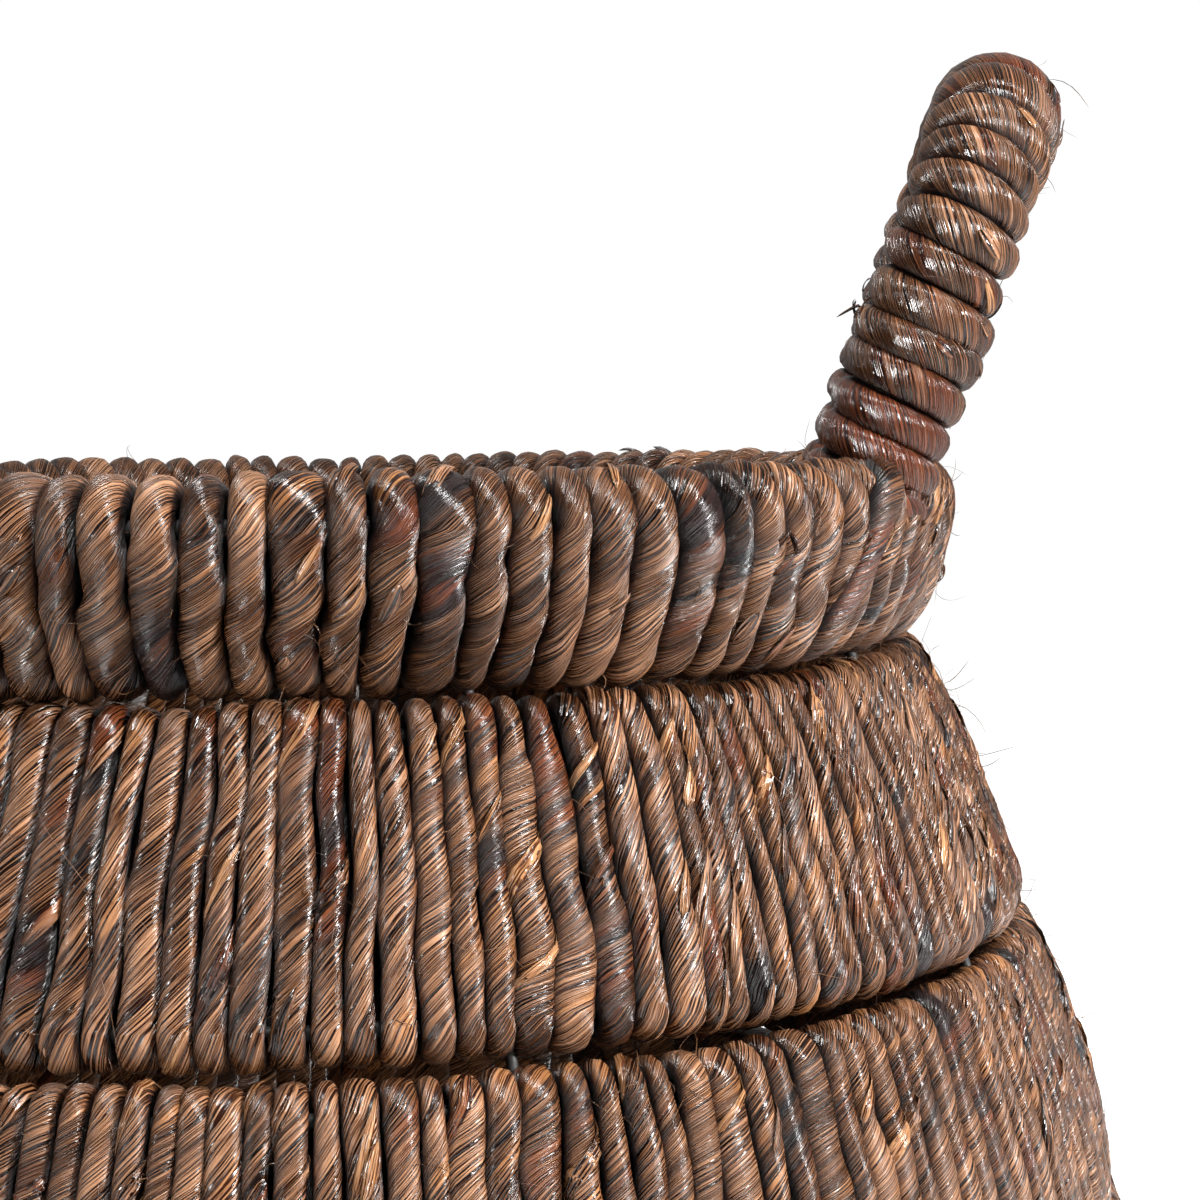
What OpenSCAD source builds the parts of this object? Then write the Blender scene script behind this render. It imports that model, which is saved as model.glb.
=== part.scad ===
// Round-bellied laundry basket. Rope bands are wound over pairs of steel hoops, a fatter rope rim
// closes the neck, and two wrapped handles stand up from the rim.
// Millimetres. The origin is on the floor under the middle of the basket, and the handles are on X.

/* [Body] */
// Height of the rim's top above the floor
body_h = 484; // [470:1:510]
// Widest outside diameter of the rim
rim_d = 400; // [390:1:410]
// Widest outside diameter of the belly
belly_d = 520; // [510:1:560]
// Outside diameter of the lowest band, where it stands
base_d = 425; // [415:1:440]
// Height of the widest part of the belly
belly_z = 171; // [150:1:190]
// Number of rope bands between the rim and the floor
band_n = 5; // [5:1:6]

/* [Rim] */
// Height of the rim
rim_h = 57; // [52:1:64]
// Thickness of the wound rim
rim_thick = 29; // [26:0.5:30]
// How much smaller in radius the rim's lower hoop is than its upper one
rim_taper = 9.2; // [6:0.1:12]
// Thickness of the rim's hoops
rim_hoop_d = 6; // [5:0.5:8]

/* [Bands] */
// Thickness of a wound band
band_thick = 19; // [17:0.5:20]
// Thickness of the hoops in a band
hoop_d = 4; // [3.5:0.5:5]
// How far a band bows out between its hoops
band_bow = 2; // [1:0.5:3]
// How much wider in radius the neck's first hoop is than the rim's lower hoop
neck_step = 5.2; // [3:0.1:8]

/* [Frame] */
// Thickness of the upright ribs inside a band
rib_d = 3.5; // [3:0.5:3.5]
// Thickness of the links that join one band to the next
link_d = 3; // [2.5:0.5:3.5]
// Number of ribs in a band, and of links in a seam
rib_n = 8; // [6:1:12]

/* [Handles] */
// Distance between the middles of a handle's legs
handle_span = 130; // [120:1:150]
// Height of the handle's middle line above the rim
handle_rise = 98; // [90:1:120]
// Lean of the handle away from upright
handle_lean = 20.5; // [15:0.5:24]
// Distance from the basket's axis to the handle's plane at the rim's top
handle_x = 174; // [170:1:178]
// Outside diameter of the wrapped handle
handle_d = 37.5; // [34:0.5:40]
// Diameter of the cane inside the handle
cane_d = 15; // [12:0.5:16]
// Radius of the handle's two corners, on its middle line
handle_corner = 42; // [36:1:50]

/* [Base] */
// Distance from the floor to the middle of the base panel
base_mid = 12; // [12:0.5:14]
// Thickness of the woven base panel
base_thick = 16; // [14:0.5:17]
// Number of bars under the weave
bar_n = 7; // [5:1:8]
// Distance from one bar to the next
bar_pitch = 44; // [36:1:44]

/* [Hidden] */
band_ids = [1:band_n];

// Room between a wire and the rope around it, and between one wound band and the next
wire_gap = 0.3;
seam_gap = 0.4;
// How deep a weld runs into the hoop
weld = 1;
// How flat the lowest band is pressed where it stands
foot_flat = 0.5;
// How the wall's slope eases towards the belly, from the neck and from the base
neck_ease = 1.6;
base_ease = 1.8;
// Steps in each of the four curves of a wound section's outline
section_steps = 10;
// How far the cane and the wrapping of a handle's leg reach below the rim's top
cane_foot = 6;
wrap_foot = 8;
// How far a handle's pins reach below the rim's top, and up into the cane
pin_foot = 22;
pin_grip = 30;
pin_d = 5;
// Degrees that a handle's corner runs into its leg and bar, and how much slimmer it is there
corner_lap = 1;
corner_step = 0.05;
// Room between the base's binding, its weave and the lowest band
base_room = 2;
// How much thicker in radius the binding is than the weave beside it
binding_step = 0.5;

rope_colour = "#6f4e39";
base_rope_colour = "#64452f";
handle_rope_colour = "#75503a";
steel_colour = "#4a4a4c";
cane_colour = "#b48a56";

$fn = 96;

rim_t = rim_thick / 2;
band_t = band_thick / 2;
hoop_r = hoop_d / 2;
rim_hoop_r = rim_hoop_d / 2;

// Hoop centres are written as [radius, height].
rim_hi = [rim_d / 2 - rim_t, body_h - rim_t];
rim_lo = [rim_hi.x - rim_taper, body_h - rim_h + rim_t];
neck_r = rim_lo.x + neck_step;
neck_z = rim_lo.y - sqrt(pow(rim_t + band_t + seam_gap, 2) - pow(neck_step, 2));
belly_r = belly_d / 2 - band_t;
base_r = base_d / 2 - band_t;
base_z = band_t - foot_flat;

seam_drop = band_thick + seam_gap;
band_pitch = (neck_z - base_z + seam_drop) / band_n;

// Radius of the hoops' circle at a height: widest at the belly, easing in to the neck and the base
function wall_r(z) =
    z > belly_z
        ? belly_r - (belly_r - neck_r) * pow((z - belly_z) / (neck_z - belly_z), neck_ease)
        : belly_r - (belly_r - base_r) * pow((belly_z - z) / (belly_z - base_z), base_ease);

function hoop_at(z) = [wall_r(z), z];
function band_hi(i) = hoop_at(neck_z - (i - 1) * band_pitch);
function band_lo(i) = hoop_at(neck_z - i * band_pitch + seam_drop);

binding_r = base_thick / 2 + binding_step;
base_hoop_at = [band_lo(band_n).x - band_t - base_room - binding_r, base_mid];
bar_ends = [for (i = [0:bar_n - 1]) (i - (bar_n - 1) / 2) * bar_pitch];

// ---- Sections -------------------------------------------------------------------------------

// Points of an arc, without its last one
function arc_points(centre, r, from, to) =
    [for (i = [0:section_steps - 1])
        let (a = from + (to - from) * i / section_steps)
        centre + r * [cos(a), sin(a)]];

// The arc through two hoop centres: [centre, radius, middle angle, half angle]
function bow_arc(lo, hi, bow) =
    let (
        run = hi - lo,
        chord = norm(run),
        r = (chord * chord / 4 + bow * bow) / (2 * bow),
        out = [run.y, -run.x] / chord
    )
    [(lo + hi) / 2 - out * (r - bow), r, atan2(out.y, out.x), asin(chord / 2 / r)];

// Outline of a band wound over two hoops: two bowed faces with a round turn over each hoop
function wound_outline(lo, hi, bow, t) =
    let (
        arc = bow_arc(lo, hi, bow),
        low_a = arc[2] - arc[3],
        high_a = arc[2] + arc[3]
    )
    concat(
        arc_points(arc[0], arc[1] + t, low_a, high_a),
        arc_points(hi, t, high_a, high_a + 180),
        arc_points(arc[0], arc[1] - t, high_a, low_a),
        arc_points(lo, t, low_a + 180, low_a + 360)
    );

// ---- Wire pieces ----------------------------------------------------------------------------

module hoop(at, r)
    rotate_extrude()
        translate(at)
            circle(r = r);

// A straight rod between two points of the wall's section, shortened at each end
module rod(from, to, r, cut_from, cut_to) {
    run = to - from;
    lean = atan2(run.x, run.y);
    translate([from.x, 0, from.y])
        rotate([0, lean, 0])
            translate([0, 0, cut_from])
                cylinder(h = norm(run) - cut_from - cut_to, r = r);
}

// A rod that follows the bow of a band from its lower hoop to its upper one
module bowed_rod(lo, hi, bow, r, cut) {
    arc = bow_arc(lo, hi, bow);
    trim = cut / arc[1] * 180 / PI;
    translate([arc[0].x, 0, arc[0].y])
        rotate([90, 0, 0])
            rotate([0, 0, arc[2] - arc[3] + trim])
                rotate_extrude(angle = 2 * (arc[3] - trim))
                    translate([arc[1], 0])
                        circle(r = r);
}

module around(n, turn = 0)
    for (k = [0:n - 1])
        rotate([0, 0, (k + turn) * 360 / n])
            children();

module ribs(lo, hi, wire_r)
    around(rib_n)
        bowed_rod(lo, hi, band_bow, rib_d / 2, wire_r - weld);

module links(lo, hi, lo_r, hi_r, r, cut)
    around(rib_n, 0.5)
        rod(lo, hi, r, lo_r - cut, hi_r - cut);

// Lower and upper ends of the links in a seam; seam 1 is under the rim
function seam_lo(i) = band_hi(i);
function seam_hi(i) = i == 1 ? rim_lo : band_lo(i - 1);
function seam_wire(i) = i == 1 ? rim_hoop_r : hoop_r;

module seam_links(i, grow = 0)
    links(seam_lo(i), seam_hi(i), hoop_r, seam_wire(i), link_d / 2 + grow, weld);

module base_link_rods(grow = 0)
    around(rib_n, 0.5)
        rod(base_hoop_at, band_lo(band_n), link_d / 2 + grow, hoop_r - weld, hoop_r - weld);

module base_bar_rods(grow = 0)
    for (y = bar_ends) {
        half = sqrt(pow(base_hoop_at.x, 2) - y * y) - hoop_r + weld;
        translate([-half, y, base_mid])
            rotate([0, 90, 0])
                cylinder(h = 2 * half, r = hoop_r + grow);
    }

// ---- Rope pieces ----------------------------------------------------------------------------

// A band of rope, solid around the hollow that holds its hoops and ribs
module wound_band(lo, hi, t, wire_r)
    rotate_extrude()
        difference() {
            polygon(wound_outline(lo, hi, band_bow, t));
            polygon(wound_outline(lo, hi, band_bow, wire_r + wire_gap));
        }

module rim_wrap()
    color(rope_colour)
        difference() {
            wound_band(rim_lo, rim_hi, rim_t, rim_hoop_r);
            seam_links(1, wire_gap);
            both_handles() {
                handle_legs(cane_d / 2 + wire_gap, cane_foot + wire_gap, pin_grip);
                handle_legs(pin_d / 2 + wire_gap, pin_foot + wire_gap, pin_grip);
            }
        }

module band_wrap(i)
    color(rope_colour)
        difference() {
            wound_band(band_lo(i), band_hi(i), band_t, hoop_r);
            seam_links(i, wire_gap);
            if (i < band_n)
                seam_links(i + 1, wire_gap);
            else {
                base_link_rods(wire_gap);
                translate([0, 0, -band_thick])
                    cylinder(h = band_thick, r = belly_d);
            }
        }

module base_weave()
    color(base_rope_colour)
        difference() {
            translate([0, 0, base_mid - base_thick / 2])
                cylinder(h = base_thick, r = base_hoop_at.x - base_thick / 2 - base_room);
            base_bar_rods(wire_gap);
        }

module base_binding()
    color(rope_colour)
        difference() {
            hoop(base_hoop_at, binding_r);
            hoop(base_hoop_at, hoop_r + wire_gap);
            base_bar_rods(wire_gap);
            base_link_rods(wire_gap);
        }

// ---- Handles --------------------------------------------------------------------------------

arch_top = handle_rise / cos(handle_lean);
leg_h = arch_top - handle_corner;
half_span = handle_span / 2;

// Moves a handle from its own upright plane to its place on the right of the rim
module place_handle()
    translate([handle_x, 0, body_h])
        rotate([0, handle_lean, 0])
            children();

module both_handles() {
    place_handle()
        children();
    mirror([1, 0, 0])
        place_handle()
            children();
}

// The two straight legs, from a depth below the rim's top to a height above it
module handle_legs(r, below, above)
    for (side = [-1, 1])
        translate([0, side * half_span, -below])
            cylinder(h = below + above, r = r);

// The whole arch: legs, two round corners that end just inside them, and the bar between
module handle_arch(r, below) {
    handle_legs(r, below, leg_h);
    for (side = [-1, 1])
        translate([0, side * (half_span - handle_corner), leg_h])
            rotate([0, 0, side * 90])
                rotate([90, 0, 0])
                    rotate([0, 0, -corner_lap])
                        rotate_extrude(angle = 90 + 2 * corner_lap)
                            translate([handle_corner, 0])
                                circle(r = r - corner_step);
    translate([0, handle_corner - half_span, arch_top])
        rotate([-90, 0, 0])
            cylinder(h = handle_span - 2 * handle_corner, r = r);
}

module handle_cane()
    color(cane_colour)
        place_handle()
            difference() {
                handle_arch(cane_d / 2, cane_foot);
                handle_legs(pin_d / 2 + wire_gap / 2, cane_foot + weld, pin_grip + wire_gap);
            }

module handle_pins()
    color(steel_colour)
        place_handle()
            handle_legs(pin_d / 2, pin_foot, pin_grip);

module handle_wrap()
    color(handle_rope_colour)
        difference() {
            place_handle()
                difference() {
                    handle_arch(handle_d / 2, wrap_foot);
                    handle_arch(cane_d / 2 + wire_gap, wrap_foot + weld);
                }
            rotate_extrude()
                polygon(wound_outline(rim_lo, rim_hi, band_bow, rim_t + wire_gap));
        }

module handle_part(side, kind)
    mirror([side == "left" ? 1 : 0, 0, 0])
        if (kind == "cane")
            handle_cane();
        else if (kind == "pins")
            handle_pins();
        else
            handle_wrap();

// ---- Drawn nodes ----------------------------------------------------------------------------

module band_part(i, kind)
    if (kind == "wrap")
        band_wrap(i);
    else
        color(steel_colour)
            if (kind == "ribs")
                ribs(band_lo(i), band_hi(i), hoop_r);
            else
                hoop(kind == "upper_hoop" ? band_hi(i) : band_lo(i), hoop_r);

module rim_upper_hoop() color(steel_colour) hoop(rim_hi, rim_hoop_r);
module rim_lower_hoop() color(steel_colour) hoop(rim_lo, rim_hoop_r);
module rim_ribs() color(steel_colour) ribs(rim_lo, rim_hi, rim_hoop_r);
module base_hoop() color(steel_colour) hoop(base_hoop_at, hoop_r);
module base_bars() color(steel_colour) base_bar_rods();
module base_links() color(steel_colour) base_link_rods();

rim_upper_hoop();
rim_lower_hoop();
rim_ribs();
rim_wrap();
for (i = band_ids, kind = ["upper_hoop", "lower_hoop", "ribs", "wrap"])
    band_part(i, kind);
for (i = band_ids)
    color(steel_colour) seam_links(i);
base_hoop();
base_bars();
base_weave();
base_binding();
base_links();
for (side = ["right", "left"], kind = ["cane", "pins", "wrap"])
    handle_part(side, kind);
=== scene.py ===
"""Round-bellied laundry basket: twisted rope wound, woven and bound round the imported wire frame."""
import logging
import math
from dataclasses import dataclass, field, replace
from enum import Enum
from typing import Any, ClassVar

import bpy
import numpy as np
from mathutils import Matrix, Vector


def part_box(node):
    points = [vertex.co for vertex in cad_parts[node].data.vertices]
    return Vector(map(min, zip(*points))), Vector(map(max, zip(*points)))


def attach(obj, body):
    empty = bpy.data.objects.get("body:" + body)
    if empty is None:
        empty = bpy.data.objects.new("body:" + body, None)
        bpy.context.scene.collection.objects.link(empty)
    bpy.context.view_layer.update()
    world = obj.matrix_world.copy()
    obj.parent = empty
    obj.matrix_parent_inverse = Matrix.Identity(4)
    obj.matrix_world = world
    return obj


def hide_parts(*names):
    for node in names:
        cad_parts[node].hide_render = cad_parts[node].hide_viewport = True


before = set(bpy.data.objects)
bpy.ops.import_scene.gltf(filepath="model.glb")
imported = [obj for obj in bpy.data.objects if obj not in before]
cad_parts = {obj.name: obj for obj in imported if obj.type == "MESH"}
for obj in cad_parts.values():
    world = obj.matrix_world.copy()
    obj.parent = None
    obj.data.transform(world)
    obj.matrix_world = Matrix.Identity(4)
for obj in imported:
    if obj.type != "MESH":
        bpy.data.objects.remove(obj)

LOG = logging.getLogger("basket")
TAU = 2.0 * math.pi
MM = 0.001
BODY = "root"
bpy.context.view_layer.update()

# How square a rope's section is: 2 is an ellipse, and more is squarer
SQUARE = 2.5
# How far apart along the run the patterns of neighbouring lines start
LINE_SHIFT = 0.371
# Tone of a strip that has lost its dyed skin, past the range of the dyed ones
BARE_TONE = 3.0


class Side(Enum):
    """Which side of the basket a handle stands on, as a sign along X."""

    RIGHT = 1
    LEFT = -1


class Lay(Enum):
    """Which way a rope's fibres are twisted."""

    Z = 1
    S = -1


# ---- Node benches ---------------------------------------------------------------------------


class NodeBench:
    """Adds and joins nodes in one tree."""

    def __init__(self, tree: bpy.types.NodeTree) -> None:
        """Starts on a tree.

        Args:
            tree: The shader or geometry tree to add to.
        """
        self.tree = tree

    def add(
        self, kind: str, inputs: dict[Any, Any] | None = None, **settings: Any
    ) -> bpy.types.Node:
        """Adds a node, sets its properties, and joins or fills its inputs.

        Args:
            kind: The node's type name.
            inputs: Socket name or number to a socket or a plain value.
            **settings: Properties of the node itself.

        Returns:
            The new node.
        """
        made = self.tree.nodes.new(kind)
        for name, value in settings.items():
            setattr(made, name, value)
        for key, value in (inputs or {}).items():
            self.feed(made.inputs[key], value)
        return made

    def feed(self, socket: bpy.types.NodeSocket, value: Any) -> None:
        """Joins a socket to another, or sets its value.

        Args:
            socket: The input to feed.
            value: An output socket, or a plain value.
        """
        if isinstance(value, bpy.types.NodeSocket):
            self.tree.links.new(value, socket)
        else:
            socket.default_value = value

    def math(self, operation: str, a: Any, b: Any = 0.0, c: Any = 0.0, clamp: bool = False) -> Any:
        """Returns a sum, product or other plain operation on up to three numbers."""
        kind = "ShaderNodeMath"
        return self.add(kind, {0: a, 1: b, 2: c}, operation=operation, use_clamp=clamp).outputs[0]

    def vector(self, operation: str, a: Any, b: Any = (0.0, 0.0, 0.0)) -> bpy.types.Node:
        """Returns a vector operation's node, whose value or vector the caller picks."""
        return self.add("ShaderNodeVectorMath", {0: a, 1: b}, operation=operation)

    def scaled(self, a: Any, factor: Any) -> Any:
        """Returns a vector times a number."""
        inputs = {0: a, "Scale": factor}
        return self.add("ShaderNodeVectorMath", inputs, operation="SCALE").outputs[0]

    def triple(self, x: Any, y: Any, z: Any) -> Any:
        """Returns a vector made of three numbers."""
        return self.add("ShaderNodeCombineXYZ", {0: x, 1: y, 2: z}).outputs[0]

    def spread(self, value: Any, low: Any, high: Any, to_low: Any = 0.0, to_high: Any = 1.0) -> Any:
        """Returns a number moved smoothly from one range to another."""
        names = ("Value", "From Min", "From Max", "To Min", "To Max")
        inputs = dict(zip(names, (value, low, high, to_low, to_high)))
        made = self.add("ShaderNodeMapRange", inputs, interpolation_type="SMOOTHSTEP")
        return made.outputs[0]

    def blend(self, factor: Any, a: Any, b: Any, mode: str = "MIX") -> Any:
        """Returns a mix of two colours."""
        made = self.add("ShaderNodeMix", data_type="RGBA", blend_type=mode, clamp_factor=True)
        self.feed(made.inputs[0], factor)
        self.feed(made.inputs[6], a)
        self.feed(made.inputs[7], b)
        return made.outputs[2]

    def bump(self, height: Any, strength: float, depth: float) -> Any:
        """Returns a normal for a height that goes so deep."""
        inputs = {"Strength": strength, "Distance": depth, "Height": height}
        return self.add("ShaderNodeBump", inputs).outputs[0]

    def noise(self, at: Any, scale: float = 1.0, detail: float = 2.0, rough: float = 0.5) -> Any:
        """Returns a smooth noise value from 0 to 1."""
        return self.add(
            "ShaderNodeTexNoise",
            {"Vector": at, "Scale": scale, "Detail": detail, "Roughness": rough},
            noise_dimensions="3D",
        ).outputs[0]


def group_tree(
    name: str, kind: str, inputs: dict[str, tuple[str, Any]], outputs: dict[str, str]
) -> tuple[NodeBench, Any, Any]:
    """Starts a node group with named inputs and outputs.

    Args:
        name: The group's name.
        kind: The tree's type name.
        inputs: Socket name to its type and its first value.
        outputs: Socket name to its type.

    Returns:
        The bench, the group's input sockets and its output node.
    """
    tree = bpy.data.node_groups.new(name, kind)
    for label, (socket_type, value) in inputs.items():
        socket = tree.interface.new_socket(label, in_out="INPUT", socket_type=socket_type)
        if value is not None:
            socket.default_value = value
    for label, socket_type in outputs.items():
        tree.interface.new_socket(label, in_out="OUTPUT", socket_type=socket_type)
    bench = NodeBench(tree)
    return bench, bench.add("NodeGroupInput").outputs, bench.add("NodeGroupOutput")


# ---- Random fields --------------------------------------------------------------------------


def ease(t: np.ndarray) -> np.ndarray:
    """Returns the smooth step of values from 0 to 1."""
    t = np.clip(t, 0.0, 1.0)
    return t * t * (3.0 - 2.0 * t)


def drift(rng: np.random.Generator, turns: int, at: np.ndarray, knots: int, kin: int) -> np.ndarray:
    """Makes a smooth random field over the turns of a rope.

    Args:
        rng: The seeded source.
        turns: How many turns the rope makes.
        at: Where the rings of one turn lie, from 0 to 1.
        knots: How many random values one turn is drawn through.
        kin: How many neighbouring turns share their values.

    Returns:
        An array of turns by rings, of spread about 1.
    """
    values = rng.standard_normal((turns, knots + 1))
    if kin:
        weights = np.hanning(2 * kin + 3)[1:-1]
        weights /= math.sqrt(float((weights**2).sum()))
        values = sum(w * np.roll(values, k - kin, axis=0) for k, w in enumerate(weights))
    place = np.clip(at, 0.0, 1.0) * knots
    first = np.minimum(place.astype(int), knots - 1)
    share = ease(place - first)
    return values[:, first] * (1.0 - share) + values[:, first + 1] * share


# ---- Hoops and sections ---------------------------------------------------------------------


@dataclass(frozen=True)
class Hoop:
    """One wire ring of the frame."""

    radius: float
    height: float
    wire: float

    @classmethod
    def of(cls, node: str) -> "Hoop":
        """Measures a hoop from its node in the frame.

        Args:
            node: The CAD node's name.

        Returns:
            The hoop's radius, height and wire radius.
        """
        low, high = (Vector(corner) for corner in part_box(node))
        wire = (high.z - low.z) / 2
        return cls((high.x - low.x) / 2 - wire, (high.z + low.z) / 2, wire)


@dataclass(frozen=True)
class Trace:
    """The rings of one turn round a band's section.

    Attributes:
        at: Radius and height of each ring.
        out: The section's outward direction there.
        rise: How far up the band it is, from 0 to 1.
        moved: How far over to the next turn it has moved, from 0 to 1.
        front: How far it is on the outer face, from 0 on the inner face to 1.
    """

    at: np.ndarray
    out: np.ndarray
    rise: np.ndarray
    moved: np.ndarray
    front: np.ndarray


@dataclass(frozen=True)
class WoundSection:
    """Section of a band wound over two hoops, with faces that bow outwards."""

    low: Hoop
    high: Hoop
    bow: float
    reach: float

    def trace(self, face: int, cap: int, back: int) -> Trace:
        """Lays rings up the face, over the upper hoop, down the back and under the lower hoop.

        Args:
            face: Rings up the outer face.
            cap: Rings over each hoop.
            back: Rings down the inner face.

        Returns:
            The rings of one turn.
        """
        low = np.array([self.low.radius, self.low.height])
        high = np.array([self.high.radius, self.high.height])
        run = high - low
        chord = float(np.hypot(*run))
        big = (chord * chord / 4 + self.bow**2) / (2 * self.bow)
        out = np.array([run[1], -run[0]]) / chord
        middle = (low + high) / 2 - out * (big - self.bow)
        angle = math.atan2(out[1], out[0])
        half = math.asin(chord / 2 / big)

        def arc(count: int, start: float, end: float) -> np.ndarray:
            """Returns unit directions along an arc, without its last one."""
            turn = np.linspace(start, end, count, endpoint=False)
            return np.stack([np.cos(turn), np.sin(turn)], axis=1)

        up = arc(face, angle - half, angle + half)
        over = arc(cap, angle + half, angle + half + math.pi)
        down = arc(back, angle + half, angle - half)
        under = arc(cap, angle - half + math.pi, angle - half + TAU)
        at = np.concatenate([
            middle + (big + self.reach) * up,
            high + self.reach * over,
            middle + (big - self.reach) * down,
            low + self.reach * under,
        ])
        step_face = np.arange(face) / face
        step_back = np.arange(back) / back
        rise = np.concatenate([step_face, np.ones(cap), 1 - step_back, np.zeros(cap)])
        moved = np.concatenate([np.zeros(face + cap), ease(step_back), np.ones(cap)])
        round_over = np.arange(cap) / cap
        front = np.concatenate(
            [np.ones(face), ease(1 - round_over), np.zeros(back), ease(round_over)]
        )
        return Trace(at, np.concatenate([up, over, -down, under]), rise, moved, front)


# ---- Rope paths -----------------------------------------------------------------------------


@dataclass(frozen=True)
class Rope:
    """A twisted bundle of split bark, as the winder picks it up.

    Attributes:
        width: Usual width where it lies in the winding.
        thick: Usual thickness there.
        uneven: Spread of the width from one turn to the next.
        fill: Share of its place that a turn fills, the rest being gap.
        lay_angle: Angle of the fibres from the rope's own line, in degrees.
        lay_spread: How far that angle wanders.
        lay: Which way the fibres are twisted.
        slow_beat: How fast the random part of that wandering goes.
        even_beat: Length of rope over which the even part of it comes round.
    """

    width: float
    thick: float
    uneven: float = 0.14
    fill: float = 0.96
    lay_angle: float = 44.0
    lay_spread: float = 9.0
    lay: Lay = Lay.Z
    slow_beat: float = 0.09
    even_beat: float = 0.11

    @property
    def girth(self) -> float:
        """Length once round the rope."""
        return math.pi * (self.width + self.thick) / 2

    def twist(self, centre: np.ndarray, rng: np.random.Generator) -> np.ndarray:
        """Works out how far the fibres have turned along each rope.

        Args:
            centre: The ropes' points, of ropes by points by 3.
            rng: The seeded source.

        Returns:
            The turned angle at each point, in radians.
        """
        step = np.linalg.norm(np.diff(centre, axis=1, prepend=centre[:, :1]), axis=2)
        run = np.cumsum(step, axis=1)
        slow = np.cumsum(rng.standard_normal(run.shape), axis=1)
        even = 0.5 * np.sin(run / self.even_beat)
        wander = self.lay_spread * (np.sin(slow * self.slow_beat) + even)
        slope = np.tan(np.radians(self.lay_angle + wander))
        return self.lay.value * np.cumsum(step * slope, axis=1) * TAU / self.girth


@dataclass
class Strands:
    """Lines of rope, strip or hair, with what the sweep needs at each point.

    Attributes:
        centre: Middle of each line at each point, of lines by points by 3.
        out: Direction there in which the line is flattened and lies outermost.
        half_width: Half the width, of lines by points.
        half_thick: Half the thickness.
        tone: How pale the line is against its fellows.
        twist: How far its fibres have turned.
        tilt: How steeply one edge stands proud of the other.
        girth: Length once round.
        closed: Whether each line joins up with its start.
    """

    NUMBERS: ClassVar[tuple[str, ...]] = ("half_width", "half_thick", "tone", "twist", "tilt")
    VECTORS: ClassVar[tuple[str, ...]] = ("centre", "out")

    centre: np.ndarray
    out: np.ndarray
    half_width: np.ndarray
    half_thick: np.ndarray
    tone: np.ndarray
    twist: np.ndarray
    tilt: np.ndarray
    girth: float
    closed: bool = False

    @classmethod
    def joined(cls, parts: list["Strands"]) -> "Strands":
        """Puts lines with the same number of points into one lot.

        Args:
            parts: The lots to join.

        Returns:
            One lot of all the lines.
        """
        stacked = {
            name: np.concatenate([getattr(part, name) for part in parts])
            for name in cls.VECTORS + cls.NUMBERS
        }
        return cls(**stacked, girth=parts[0].girth, closed=parts[0].closed)

    def above(self, height: float) -> "Strands":
        """Leaves out the lines that dip below a height.

        Args:
            height: The least height of a line's middle.

        Returns:
            The lines that are left.
        """
        keep = self.centre[..., 2].min(axis=1) > height
        kept = {name: getattr(self, name)[keep] for name in self.VECTORS + self.NUMBERS}
        return replace(self, **kept)

    @property
    def side(self) -> np.ndarray:
        """Direction across each line, to the right of a line that climbs, seen from outside."""
        along = np.gradient(self.centre, axis=1)
        across = np.cross(along, self.out)
        return across / np.linalg.norm(across, axis=2, keepdims=True)

    def to_object(self, name: str) -> bpy.types.Object:
        """Makes chains of edges that carry the sizes as attributes.

        Args:
            name: Name of the piece.

        Returns:
            The chains' object, linked to the scene.
        """
        lines, points = self.half_width.shape
        first = np.arange(lines)[:, None] * points
        start = first + np.arange(points - 1)[None, :]
        edges = np.stack([start, start + 1], axis=2).reshape(-1, 2).tolist()
        if self.closed:
            edges += np.concatenate([first + points - 1, first], axis=1).tolist()
        mesh = bpy.data.meshes.new(name)
        mesh.from_pydata(self.centre.reshape(-1, 3).tolist(), edges, [])
        step = np.linalg.norm(np.diff(self.centre, axis=1, prepend=self.centre[:, :1]), axis=2)
        numbers = {name: getattr(self, name) for name in self.NUMBERS}
        numbers["run"] = np.cumsum(step, axis=1) + LINE_SHIFT * np.arange(lines)[:, None]
        for label, values in numbers.items():
            layer = mesh.attributes.new(label, "FLOAT", "POINT")
            layer.data.foreach_set("value", np.asarray(values, dtype=np.float32).ravel())
        for label in self.VECTORS:
            layer = mesh.attributes.new(label, "FLOAT_VECTOR", "POINT")
            values = np.asarray(getattr(self, label), dtype=np.float32)
            layer.data.foreach_set("vector", values.ravel())
        chain = bpy.data.objects.new(name, mesh)
        bpy.context.scene.collection.objects.link(chain)
        return chain


@dataclass(frozen=True)
class Peel:
    """How flat strips of bark peel off a rope.

    Attributes:
        width: Usual width of a strip.
        length: Usual length, in points of the rope.
        points: Points along a strip.
        reach: Largest angle from the rope's outermost line, in radians.
        spans: Least and largest share of the usual length.
        follow: Least and largest share of the fibres' turn that it keeps up with.
        widths: Least and largest share of the usual width.
        skew: How far its widest place strays from its middle.
        edge: Half the width that is left at its ends.
        rest: How far its ends lie above the rope.
        arch: How much further its middle does.
        lip: How much further one end curls up.
        thick: Half its thickness.
        bare_share: Share of the strips that have lost their dyed skin.
        tone_spread: Spread of the others' tone.
        girth: Times its width, the length over which its fibres come round.
    """

    width: float = 3.0 * MM
    length: int = 7
    points: int = 9
    reach: float = 0.8
    spans: tuple[float, float] = (0.5, 1.3)
    follow: tuple[float, float] = (0.3, 0.9)
    widths: tuple[float, float] = (0.5, 1.25)
    skew: float = 0.25
    edge: float = 0.004 * MM
    rest: float = 0.12 * MM
    arch: float = 0.32 * MM
    lip: float = 0.35 * MM
    thick: float = 0.17 * MM
    bare_share: float = 0.25
    tone_spread: float = 1.4
    girth: float = 2.2


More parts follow.
